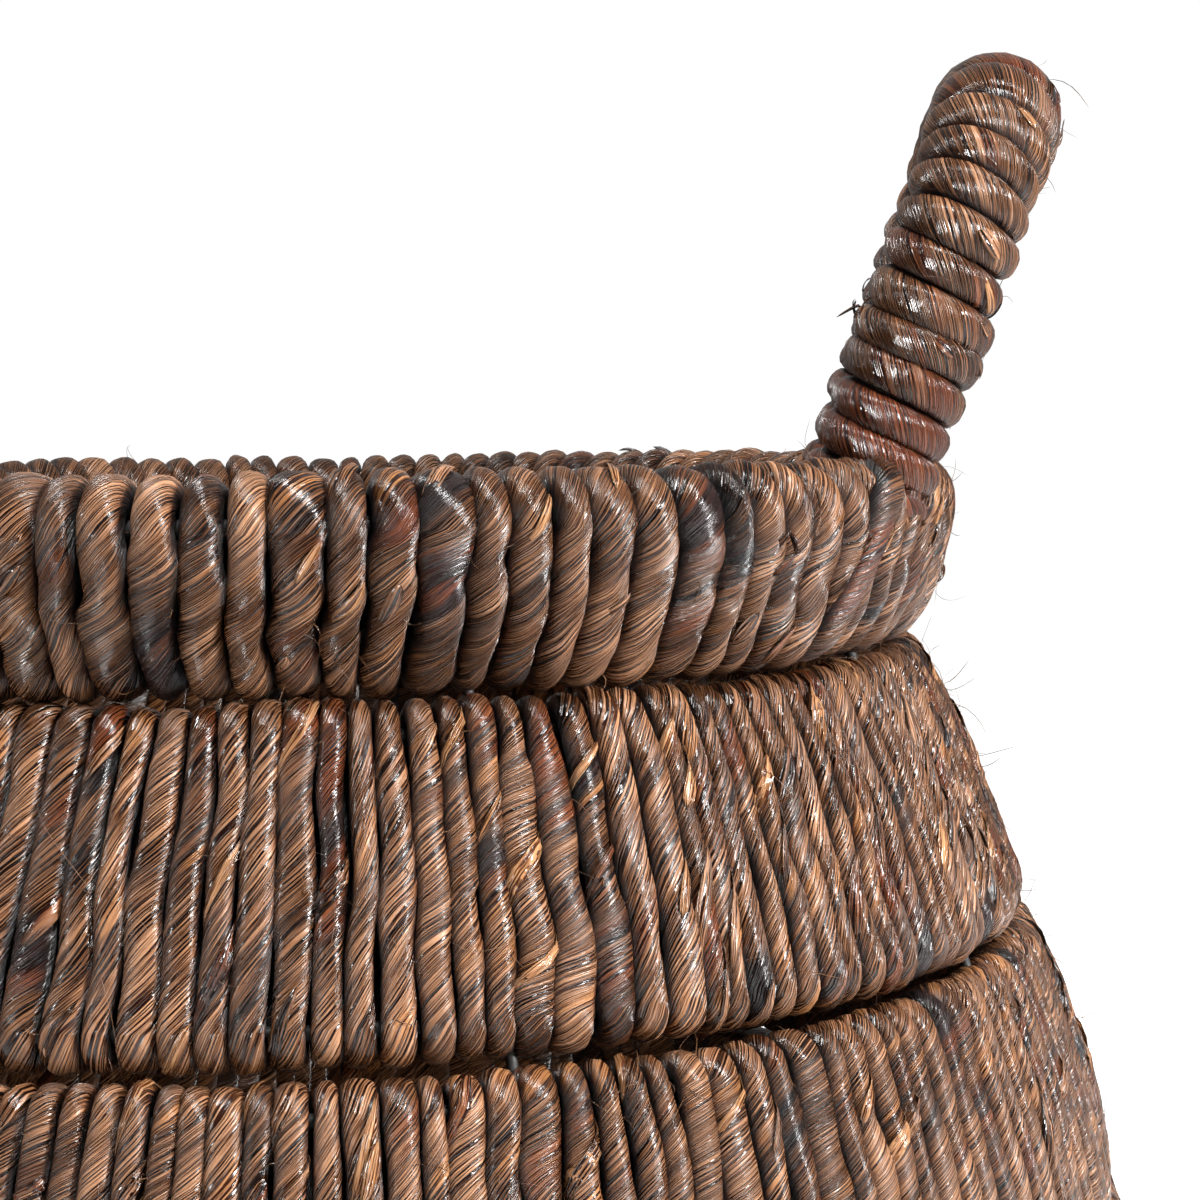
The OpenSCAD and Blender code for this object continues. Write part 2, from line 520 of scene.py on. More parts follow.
@dataclass(frozen=True)
class Fuzz:
    """How single fibres stand off a rope.

    Attributes:
        length: Usual length.
        radius: Usual radius.
        curl: How strongly they curl at most.
        pallor: How pale they are.
        reach: Largest angle from the rope's outermost line, in radians.
        sunk: How deep the root is.
        sideways: How much they lean across the rope.
        stand: Least and largest slope off the surface.
        scatter: Spread of the direction in which they set out.
        uneven: Spread of the length.
        least_curl: How strongly they curl at least.
        hug: How strongly they bend back to the rope.
        jitter: Spread of the bends from point to point.
        radii: Least and largest share of the usual radius.
        taper: Share of the radius at each point, from root to tip.
        tone_spread: Spread of the tone.
        girth: Length over which the pattern comes round.
    """

    length: float = 9.0 * MM
    radius: float = 0.1 * MM
    curl: float = 0.8
    pallor: float = 1.9
    reach: float = 1.1
    sunk: float = 0.1 * MM
    sideways: float = 0.7
    stand: tuple[float, float] = (0.15, 0.8)
    scatter: float = 0.35
    uneven: float = 0.5
    least_curl: float = 0.05
    hug: float = 0.12
    jitter: float = 0.06
    radii: tuple[float, float] = (0.6, 1.5)
    taper: tuple[float, ...] = (1.0, 1.0, 0.95, 0.9, 0.8, 0.65, 0.15)
    tone_spread: float = 0.9
    girth: float = 4.0 * MM


@dataclass(frozen=True)
class Skin:
    """The surface of one rope, on which strips and hairs are placed.

    Attributes:
        rope: The rope.
        outer: Least share of a place's direction that points away from the basket's middle, for
            it to lie on an outer face.
        hidden: How likely a place elsewhere is, against one on an outer face.
    """

    rope: Strands
    outer: float = 0.3
    hidden: float = 0.02

    def on(
        self, place: np.ndarray, turn: np.ndarray, lift: np.ndarray
    ) -> tuple[np.ndarray, np.ndarray]:
        """Finds points on the rope's surface.

        Args:
            place: How many points along the rope.
            turn: Angle from the outermost line towards the right.
            lift: Height above the surface.

        Returns:
            The points and the surface's directions there.
        """
        count = self.rope.half_width.shape[1]
        low = np.floor(place).astype(int)
        share = place - low

        def at(values: np.ndarray) -> np.ndarray:
            """Returns values between two points of the rope."""
            part = share[..., None] if values.ndim == 2 else share
            return values[low % count] * (1 - part) + values[(low + 1) % count] * part

        centre, out, side = at(self.rope.centre[0]), at(self.rope.out[0]), at(self.side)
        wide, thick, tilt = (
            at(values[0]) for values in (self.rope.half_width, self.rope.half_thick, self.rope.tilt)
        )
        cosine, sine = np.cos(turn), np.sin(turn)
        square = (np.abs(cosine) ** SQUARE + np.abs(sine) ** SQUARE) ** (-1 / SQUARE)
        rise = cosine * thick * square + sine * wide * square * tilt
        normal = out * (cosine / thick)[..., None] + side * (sine / wide)[..., None]
        normal /= np.linalg.norm(normal, axis=-1, keepdims=True)
        point = centre + out * rise[..., None] + side * (sine * wide * square)[..., None]
        return point + normal * lift[..., None], normal

    @property
    def side(self) -> np.ndarray:
        """Direction across the rope at each of its points."""
        return self.rope.side[0]

    def starts(
        self, count: int, rng: np.random.Generator, reach: float
    ) -> tuple[np.ndarray, np.ndarray]:
        """Draws places on the outer faces of the winding.

        Args:
            count: How many to draw.
            rng: The seeded source.
            reach: Largest angle from the outermost line.

        Returns:
            The points along the rope and the angles round it.
        """
        out = self.rope.out[0]
        away = np.einsum("ij,ij->i", out, self.rope.centre[0] * np.array([1.0, 1.0, 0.0]))
        level = np.linalg.norm(self.rope.centre[0][:, :2], axis=1)
        weight = np.where(away > self.outer * level, 1.0, self.hidden)
        step = np.linalg.norm(np.gradient(self.rope.centre[0], axis=0), axis=1)
        weight = weight * step
        place = rng.choice(len(weight), count, p=weight / weight.sum()) + rng.uniform(size=count)
        return place, rng.uniform(-reach, reach, count)

    def strips(self, count: int, rng: np.random.Generator, peel: Peel) -> Strands:
        """Peels flat strips of bark that follow the fibres round the rope.

        Args:
            count: How many strips.
            rng: The seeded source.
            peel: How they peel off.

        Returns:
            The strips.
        """
        place, turn = self.starts(count, rng, peel.reach)
        t = np.linspace(-1.0, 1.0, peel.points)[None, :]
        span = peel.length * rng.uniform(*peel.spans, count)[:, None]
        at = place[:, None] + t * span / 2
        twist = self.rope.twist[0]
        whole = np.arange(len(twist))
        turned = np.interp(at, whole, twist) - np.interp(place, whole, twist)[:, None]
        turned *= rng.uniform(*peel.follow, count)[:, None]
        bulge = np.sqrt(np.clip(1 - t * t, 0, 1))
        bulge = bulge * (1 + peel.skew * t * rng.uniform(-1, 1, count)[:, None])
        wide = peel.width / 2 * rng.uniform(*peel.widths, count)[:, None]
        curl = rng.exponential(peel.lip, count)[:, None] * np.clip(t, 0, 1) ** 3
        lift = peel.rest + peel.arch * bulge + curl
        centre, out = self.on(at, turn[:, None] + turned, lift)
        bare = rng.uniform(size=count) < peel.bare_share
        tone = np.where(bare, BARE_TONE, rng.normal(0.0, peel.tone_spread, count))
        blank = np.zeros_like(at)
        return Strands(
            centre,
            out,
            wide * bulge + peel.edge,
            peel.thick * np.clip(bulge * 3, 0.02, 1),
            tone[:, None] + blank,
            blank,
            blank,
            peel.width * peel.girth,
        )

    def hairs(
        self,
        count: int,
        rng: np.random.Generator,
        fuzz: Fuzz,
        roots: tuple[np.ndarray, np.ndarray] | None = None,
    ) -> Strands:
        """Pulls single fibres out of the rope.

        Args:
            count: How many hairs.
            rng: The seeded source.
            fuzz: How they stand off the rope.
            roots: Where they start, along and round the rope, or None for anywhere outside.

        Returns:
            The hairs.
        """
        place, turn = roots or self.starts(count, rng, fuzz.reach)
        root, normal = self.on(place, turn, np.full(count, -fuzz.sunk))
        low = np.floor(place).astype(int)
        rings = self.rope.half_width.shape[1]
        along = self.rope.centre[0][(low + 1) % rings] - self.rope.centre[0][low % rings]
        along /= np.linalg.norm(along, axis=1, keepdims=True)
        lay = along * rng.choice([-1.0, 1.0], count)[:, None]
        lay = lay + self.side[low % rings] * fuzz.sideways
        way = normal * rng.uniform(*fuzz.stand, count)[:, None] + lay
        way = way + rng.normal(0, fuzz.scatter, (count, 3))
        way /= np.linalg.norm(way, axis=1, keepdims=True)
        points = len(fuzz.taper)
        step = (fuzz.length * rng.lognormal(0.0, fuzz.uneven, count) / points)[:, None]
        bend = np.cross(way, rng.normal(size=(count, 3)))
        bend = bend * rng.uniform(fuzz.least_curl, fuzz.curl, count)[:, None] - normal * fuzz.hug
        path = [root]
        for _ in range(points - 1):
            path.append(path[-1] + way * step)
            way = way + bend + rng.normal(0, fuzz.jitter, (count, 3))
            way /= np.linalg.norm(way, axis=1, keepdims=True)
        centre = np.stack(path, axis=1)
        out = np.broadcast_to(normal[:, None, :], centre.shape).copy()
        wide = fuzz.radius * rng.uniform(*fuzz.radii, count)[:, None] * np.array([fuzz.taper])
        blank = np.zeros_like(wide)
        tone = rng.normal(fuzz.pallor, fuzz.tone_spread, count)[:, None] + blank
        return Strands(centre, out, wide, wide.copy(), tone, blank, blank, fuzz.girth)


@dataclass(frozen=True)
class Winding:
    """How a rope is wound round a band.

    Attributes:
        rope: The rope that is wound.
        face: Rings up the outer face of a turn.
        cap: Rings over each hoop.
        back: Rings down the inner face.
        lean: How far a turn's top leans past its foot, as a slope.
        wave: How far a turn strays sideways.
        proud: How far a turn strays in and out.
        sway: How far the whole band strays up and down.
        shingle: How steeply a turn's right edge stands proud.
        pinch: How much a turn's width changes where a strip runs out.
        pinched_share: Share of the turns where one does.
        pinch_places: The lowest and the highest place of that change, from 0 to 1.
        pinch_run: Length of the change, as a share of the band's height.
        swell: How much a turn's width wanders along it.
        plump: How much its thickness does.
        flare: How much wider it lies on the inner face.
        waves: Beats round the band of the straying up and down, and where each starts.
        turn_tone: Spread of the tone from one turn to the next.
        patch_tone: Spread of the tone along a turn.
    """

    rope: Rope
    face: int = 24
    cap: int = 8
    back: int = 8
    lean: float = 0.0
    wave: float = 0.8 * MM
    proud: float = 0.4 * MM
    sway: float = 0.8 * MM
    shingle: float = 0.08
    pinch: float = 0.12
    pinched_share: float = 0.6
    pinch_places: tuple[float, float] = (0.12, 0.88)
    pinch_run: float = 0.03
    swell: float = 0.08
    plump: float = 0.05
    flare: float = 0.18
    waves: tuple[tuple[int, float], ...] = ((3, 1.0), (7, 4.0))
    turn_tone: float = 0.8
    patch_tone: float = 0.6

    def wind(self, section: WoundSection, rng: np.random.Generator) -> Strands:
        """Winds the rope round the whole band, one turn beside the last.

        Args:
            section: The band's section.
            rng: The seeded source.

        Returns:
            The closed path of the rope.
        """
        trace = section.trace(self.face, self.cap, self.back)
        middle = (section.low.radius + section.high.radius) / 2 + section.reach
        turns = round(TAU * middle / self.rope.width)
        widths = np.exp(rng.normal(0.0, self.rope.uneven, turns))
        widths *= TAU / widths.sum()
        centres = np.cumsum(widths) - widths / 2
        following = np.append(centres[1:], centres[0] + TAU)
        tall = abs(section.high.height - section.low.height)

        def field_of(knots: int, kin: int) -> np.ndarray:
            """Returns a random field that passes on to the next turn down the back."""
            own = drift(rng, turns, trace.rise, knots, kin)
            return own * (1 - trace.moved) + np.roll(own, -1, axis=0) * trace.moved

        lean = self.lean * (trace.rise - 0.5) * tall
        stray = lean + self.wave * (field_of(4, 2) * 0.8 + field_of(5, 0) * 0.4)
        radius = trace.at[:, 0]
        turn_at = centres[:, None] * (1 - trace.moved) + following[:, None] * trace.moved
        angle = turn_at + stray / middle
        wide = widths[:, None] * (1 - trace.moved) + np.roll(widths, -1)[:, None] * trace.moved
        half_width = self.rope.fill * wide / 2 * radius
        half_width *= (1 + self.swell * field_of(5, 0)) * self.pinches(rng, turns, trace)
        half_width *= 1 + self.flare * (1 - trace.front) ** 2
        lift = self.proud * (field_of(3, 1) + 0.5 * field_of(6, 0))
        swings = [np.sin(beats * angle + start) for beats, start in self.waves]
        sway = self.sway * sum(swings) / len(swings)
        across = radius + trace.out[:, 0] * lift
        up = trace.at[:, 1] + trace.out[:, 1] * lift + sway
        centre = np.stack([across * np.cos(angle), across * np.sin(angle), up], axis=-1)
        out = np.stack([
            trace.out[:, 0] * np.cos(angle),
            trace.out[:, 0] * np.sin(angle),
            np.broadcast_to(trace.out[:, 1], angle.shape),
        ], axis=-1)
        half_thick = self.rope.thick / 2 * (1 + self.plump * field_of(4, 0))
        tone = self.turn_tone * field_of(1, 0) + self.patch_tone * field_of(4, 0)
        tilt = self.shingle * (1 + 0.8 * field_of(2, 0))
        centre = centre.reshape(1, -1, 3)
        return Strands(
            centre,
            out.reshape(1, -1, 3),
            half_width.reshape(1, -1),
            half_thick.reshape(1, -1),
            tone.reshape(1, -1),
            self.rope.twist(centre, rng),
            tilt.reshape(1, -1),
            self.rope.girth,
            closed=True,
        )

    def pinches(self, rng: np.random.Generator, turns: int, trace: Trace) -> np.ndarray:
        """Makes some turns change width sharply part of the way up, as where a strip runs out.

        Args:
            rng: The seeded source.
            turns: How many turns there are.
            trace: The rings of one turn.

        Returns:
            A factor on the width, of turns by rings.
        """
        place = rng.uniform(*self.pinch_places, turns)
        jump = rng.normal(0.0, self.pinch, turns) * (rng.uniform(size=turns) < self.pinched_share)
        on_face = trace.moved == 0
        step = np.tanh((trace.rise[None, :] - place[:, None]) / self.pinch_run)
        return 1 + jump[:, None] * step * on_face


@dataclass(frozen=True)
class Spiral:
    """How a rope is wound round one rod.

    Attributes:
        rope: The rope that is wound.
        rings: Rings in one turn.
        reach: Distance from the rod's line to the rope's.
        shingle: How steeply the leading edge stands proud.
        proud: How far a turn strays in and out.
        end_stain: How much darker the tone is at the rod's ends.
        stained_share: Share of the rod, from each end, that is darker.
        sway: How far a turn strays along the rod, as a share of its width.
        swell: How much a turn's width wanders.
        turn_tone: Spread of the tone from one turn to the next.
        patch_tone: Spread of the tone along a turn.
    """

    rope: Rope
    rings: int
    reach: float
    shingle: float = 0.1
    proud: float = 0.35 * MM
    end_stain: float = 0.0
    stained_share: float = 0.24
    sway: float = 0.05
    swell: float = 0.05
    turn_tone: float = 0.9
    patch_tone: float = 0.2

    def wind(
        self, line: np.ndarray, normal: np.ndarray, closed: bool, rng: np.random.Generator
    ) -> Strands:
        """Winds the rope round a rod, with a left-handed turn.

        Args:
            line: Evenly spaced points of the rod's line.
            normal: A direction across the rod at each.
            closed: Whether the rod is a ring.
            rng: The seeded source.

        Returns:
            The rope.
        """
        if closed:
            line = np.concatenate([line, line[:1]])
            normal = np.concatenate([normal, normal[:1]])
        step = np.linalg.norm(np.diff(line, axis=0), axis=1)
        length = np.concatenate([[0.0], np.cumsum(step)])
        turns = round(length[-1] / self.rope.width)
        widths = np.exp(rng.normal(0.0, self.rope.uneven, turns))
        edges = np.concatenate([[0.0], np.cumsum(widths)]) * length[-1] / widths.sum()
        count = turns * self.rings
        part = np.arange(count) / self.rings
        run = np.interp(part, np.arange(turns + 1), edges)
        own = np.interp(part, np.arange(turns) + 0.5, np.diff(edges))

        def along(values: np.ndarray) -> np.ndarray:
            """Returns the rod's values where the rings are."""
            return np.stack([np.interp(run, length, values[:, k]) for k in range(3)], axis=1)

        middle, across = along(line), along(normal)
        tangent = along(np.gradient(line, axis=0))
        tangent /= np.linalg.norm(tangent, axis=1, keepdims=True)
        across -= tangent * np.einsum("ij,ij->i", across, tangent)[:, None]
        across /= np.linalg.norm(across, axis=1, keepdims=True)
        turn = -TAU * part[:, None]
        out = across * np.cos(turn) + np.cross(tangent, across) * np.sin(turn)
        bend = np.gradient(tangent, axis=0) / np.gradient(run)[:, None]
        fan = 1 - self.reach * np.einsum("ij,ij->i", bend, out)
        place = np.arange(self.rings) / self.rings
        knots = np.arange(turns + 1)
        smooth = np.interp(part, knots, rng.standard_normal(turns + 1))
        sway = drift(rng, turns, place, 3, 0).ravel() * self.sway * self.rope.width
        lift = self.proud * (smooth + 0.4 * np.sin(part * 9.0))
        centre = (middle + out * (self.reach + lift)[:, None] + tangent * sway[:, None])[None]
        half_width = self.rope.fill * own / 2 * fan * (1 + self.swell * smooth)
        half_thick = np.full(count, self.rope.thick / 2)
        tone = self.turn_tone * np.interp(part, knots, rng.standard_normal(turns + 1))
        tone += self.patch_tone * drift(rng, turns, place, 3, 0).ravel()
        from_end = np.minimum(run, length[-1] - run) / length[-1]
        tone -= self.end_stain * np.clip(1 - from_end / self.stained_share, 0, 1)
        return Strands(
            centre,
            out[None],
            half_width[None],
            half_thick[None],
            tone[None],
            self.rope.twist(centre, rng),
            np.full((1, count), self.shingle),
            self.rope.girth,
            closed,
        )


# ---- Rope sweep -----------------------------------------------------------------------------


class RopeSweep:
    """The tree that turns a chain of edges into twisted rope."""

    NAMES = {
        "Sides": ("NodeSocketInt", 12),
        "Front Share": ("NodeSocketFloat", 0.4),
        "Edge Shade": ("NodeSocketFloat", 1.0),
        "Girth": ("NodeSocketFloat", 0.025),
        "Strand Relief": ("NodeSocketFloat", 0.0002),
        "Lump Relief": ("NodeSocketFloat", 0.0004),
        "Strands": ("NodeSocketFloat", 4.0),
        "Seed": ("NodeSocketFloat", 1.0),
        "Material": ("NodeSocketMaterial", None),
    }
    # How far apart the noise is read round the rope, and how many times to the metre along it
    STRAND_NOISE = (1.6, 28.0)
    LUMP_NOISE = (0.7, 95.0)
    MERGE_DISTANCE = 0.01 * MM

    def __init__(self) -> None:
        """Builds the tree once for every rope."""
        self.tree = self._tree()

    def _tree(self) -> bpy.types.NodeTree:
        """Builds the tree.

        Returns:
            The finished geometry tree.
        """
        sockets = {"Geometry": ("NodeSocketGeometry", None), **self.NAMES}
        bench, given, end = group_tree(
            "Twisted rope", "GeometryNodeTree", sockets, {"Geometry": "NodeSocketGeometry"}
        )

        def named(label: str, kind: str = "FLOAT") -> Any:
            """Returns an attribute of the chain."""
            made = bench.add("GeometryNodeInputNamedAttribute", {"Name": label}, data_type=kind)
            return made.outputs[0]

        out = named("out", "FLOAT_VECTOR")
        line = bench.add("GeometryNodeMeshToCurve", {0: given["Geometry"]}).outputs[0]
        line = bench.add(
            "GeometryNodeSetCurveNormal", {"Curve": line, "Normal": out}, mode="FREE"
        ).outputs[0]
        ring = bench.add(
            "GeometryNodeCurveArc",
            {
                "Resolution": bench.math("ADD", given["Sides"], 1.0),
                "Radius": 1.0,
                "Start Angle": math.pi,
                "Sweep Angle": TAU,
            },
            mode="RADIUS",
        ).outputs[0]
        factor = bench.add("GeometryNodeSplineParameter").outputs["Factor"]
        factor = bench.math("MULTIPLY", factor, TAU)
        turn = bench.math("MULTIPLY_ADD", bench.math("SINE", factor), given["Front Share"], factor)
        hold = bench.add("GeometryNodeCaptureAttribute", {0: ring})
        hold.capture_items.new("FLOAT", "Around")
        bench.feed(hold.inputs[1], bench.math("DIVIDE", turn, TAU))
        around = hold.outputs[1]
        wide = bench.math("MULTIPLY", bench.math("COSINE", turn), -1.0)
        tall = bench.math("MULTIPLY", bench.math("SINE", turn), -1.0)
        power = [
            bench.math("POWER", bench.math("ABSOLUTE", value), SQUARE) for value in (wide, tall)
        ]
        swell = bench.math("POWER", bench.math("ADD", *power), -1.0 / SQUARE)
        corner = bench.scaled(bench.triple(wide, tall, 0.0), swell)
        squared = bench.add(
            "GeometryNodeSetPosition", {"Geometry": hold.outputs[0], "Position": corner}
        ).outputs[0]
        swept = bench.add(
            "GeometryNodeCurveToMesh",
            {"Curve": line, "Profile Curve": squared, "Scale": named("half_width")},
        ).outputs[0]

        here = bench.add("GeometryNodeInputPosition").outputs[0]
        centre = named("centre", "FLOAT_VECTOR")
        spoke = bench.vector("SUBTRACT", here, centre).outputs[0]
        height = bench.vector("DOT_PRODUCT", spoke, out).outputs["Value"]
        flat = bench.math("DIVIDE", named("half_thick"), named("half_width"))
        fall = bench.math("MULTIPLY", height, bench.math("SUBTRACT", flat, 1.0))
        flattened = bench.vector("ADD", spoke, bench.scaled(out, fall)).outputs[0]
        steep = bench.math("MULTIPLY", named("half_width"), named("tilt"))
        rightward = bench.math("SINE", bench.math("MULTIPLY_ADD", around, TAU, math.pi))
        aside = bench.math("MULTIPLY", rightward, steep)
        pressed = bench.vector("ADD", flattened, bench.scaled(out, aside)).outputs[0]
        way = bench.vector("NORMALIZE", pressed).outputs[0]

        turned = bench.math("SUBTRACT", bench.math("MULTIPLY", around, TAU), named("twist"))
        run = named("run")
        cosine = bench.math("COSINE", turned)
        sine = bench.math("SINE", turned)

        def rough_at(round_it: float, along_it: float) -> Any:
            """Returns where a noise is read, twisted with the fibres."""
            return bench.triple(
                bench.math("MULTIPLY", cosine, round_it),
                bench.math("MULTIPLY", sine, round_it),
                bench.math("MULTIPLY_ADD", run, along_it, given["Seed"]),
            )

        ridges = bench.math("COSINE", bench.math("MULTIPLY", turned, given["Strands"]))
        uneven = bench.noise(rough_at(*self.STRAND_NOISE), detail=1.0)
        strands = bench.math("MULTIPLY", ridges, uneven)
        lumps = bench.math("SUBTRACT", bench.noise(rough_at(*self.LUMP_NOISE), detail=2.0), 0.5)
        rise = bench.math(
            "ADD",
            bench.math("MULTIPLY", strands, given["Strand Relief"]),
            bench.math("MULTIPLY", lumps, given["Lump Relief"]),
        )
        moved = bench.vector("ADD", pressed, bench.scaled(way, rise)).outputs[0]
        placed = bench.vector("ADD", centre, moved).outputs[0]
        # crown is 1 on the rope's top and falls towards its edges, as far as Edge Shade says; the dye
        # darkens the colour by it as painted shade in the gaps between turns, and keeps the lacquer
        # to the tops
        crown = bench.math("DIVIDE", height, named("half_width"))
        crown = bench.math("SUBTRACT", crown, 1.0)
        crown = bench.math("MULTIPLY_ADD", crown, given["Edge Shade"], 1.0)
        keep = bench.add(
            "GeometryNodeStoreNamedAttribute",
            {"Geometry": swept, "Name": "crown", "Value": crown},
            data_type="FLOAT",
            domain="POINT",
        ).outputs[0]
        shaped = bench.add(
            "GeometryNodeSetPosition", {"Geometry": keep, "Position": placed}
        ).outputs[0]

        girth = given["Girth"]
        across = bench.math("MULTIPLY", bench.math("DIVIDE", turned, TAU), girth)
        fibre = bench.triple(across, run, named("tone"))
        shaped = bench.add(
            "GeometryNodeStoreNamedAttribute",
            {"Geometry": shaped, "Name": "fibre", "Value": fibre},
            data_type="FLOAT_VECTOR",
            domain="CORNER",
        ).outputs[0]
        shaped = bench.add(
            "GeometryNodeMergeByDistance", {"Geometry": shaped, "Distance": self.MERGE_DISTANCE}
        ).outputs[0]
        shaped = bench.add("GeometryNodeSetShadeSmooth", {"Geometry": shaped}).outputs[0]
        whole = bench.add("GeometryNodeRealizeInstances", {"Geometry": shaped}).outputs[0]
        dressed = bench.add(
            "GeometryNodeSetMaterial", {"Geometry": whole, "Material": given["Material"]}
        ).outputs[0]
        bench.feed(end.inputs[0], dressed)
        return bench.tree

    def sweep(
        self, strands: Strands, name: str, finish: "RopeFinish", seed: int, **sizes: Any
    ) -> bpy.types.Object:
        """Sweeps lines of rope and leaves a plain mesh.

        Args:
            strands: The lines.
            name: Name of the piece.
            finish: The finish that the rope wears.
            seed: Seed of its lumps and twist.
            **sizes: Other inputs of the tree, by name with underscores.

        Returns:
            The finished object.
        """
        chain = strands.to_object(name)
        sizes = {key.replace("_", " "): value for key, value in sizes.items()}
        values = {"Girth": strands.girth, "Seed": float(seed), "Material": finish.material()}
        made = bake_nodes(chain, self.tree, {**values, **sizes})
        face_outwards(made.data)
        return made


def bake_nodes(
    source: bpy.types.Object, tree: bpy.types.NodeTree, values: dict[str, Any]
) -> bpy.types.Object:
    """Runs a geometry tree on an object and keeps the result as its plain mesh.

    Args:
        source: The object to work on.
        tree: The geometry tree.
        values: The tree's input names and their values.

    Returns:
        The same object with a plain mesh and no modifier.
    """
    modifier = source.modifiers.new("Nodes", "NODES")
    modifier.node_group = tree
    for item in tree.interface.items_tree:
        if item.in_out == "INPUT" and item.name in values:
            modifier[item.identifier] = values[item.name]
    depsgraph = bpy.context.evaluated_depsgraph_get()
    evaluated = source.evaluated_get(depsgraph)
    mesh = bpy.data.meshes.new_from_object(
        evaluated, preserve_all_data_layers=True, depsgraph=depsgraph
    )
    source.modifiers.remove(modifier)
    source.data = mesh
    mesh.name = source.name
    return source


def vertex_places(mesh: bpy.types.Mesh) -> np.ndarray:
    """Returns the places of a mesh's vertices, of vertices by 3."""
    spots = np.empty(len(mesh.vertices) * 3, dtype=np.float32)
    mesh.vertices.foreach_get("co", spots)
    return spots.reshape(-1, 3)


def face_outwards(mesh: bpy.types.Mesh) -> None:
    """Flips a closed mesh whose faces point inwards.

    Args:
        mesh: The mesh to test and mend.
    """
    mesh.calc_loop_triangles()
    corners = np.empty(len(mesh.loop_triangles) * 3, dtype=np.int32)
    mesh.loop_triangles.foreach_get("vertices", corners)
    tri = vertex_places(mesh)[corners].reshape(-1, 3, 3).astype(float)
    volume = np.einsum("ij,ij->i", tri[:, 0], np.cross(tri[:, 1], tri[:, 2])).sum()
    if volume < 0:
        mesh.flip_normals()


def press_on_floor(mesh: bpy.types.Mesh) -> None:
    """Flattens what would reach below the floor.

    Args:
        mesh: The mesh to press.
    """
    spots = vertex_places(mesh)
    spots[:, 2] = np.maximum(spots[:, 2], 0.0)
    mesh.vertices.foreach_set("co", spots.ravel())
    mesh.update()


# ---- Finishes -------------------------------------------------------------------------------


@dataclass(frozen=True)
class Patch:
    """A slow noise over the fibres.

    Attributes:
        across: How many patches to the metre across the fibres.
        along: How many along them.
        lane: Which of the unrelated noises it is.
        detail: How ragged the patches are.
    """

    across: float
    along: float
    lane: float
    detail: float


@dataclass(frozen=True)
class Lines:
    """A noise drawn out along the fibres.

    Attributes:
        widths: Width of a line, in fibre widths.
        along: How many changes to the metre along it.
        lane: Which of the unrelated noises it is.
    """

    widths: float
    along: float
    lane: float


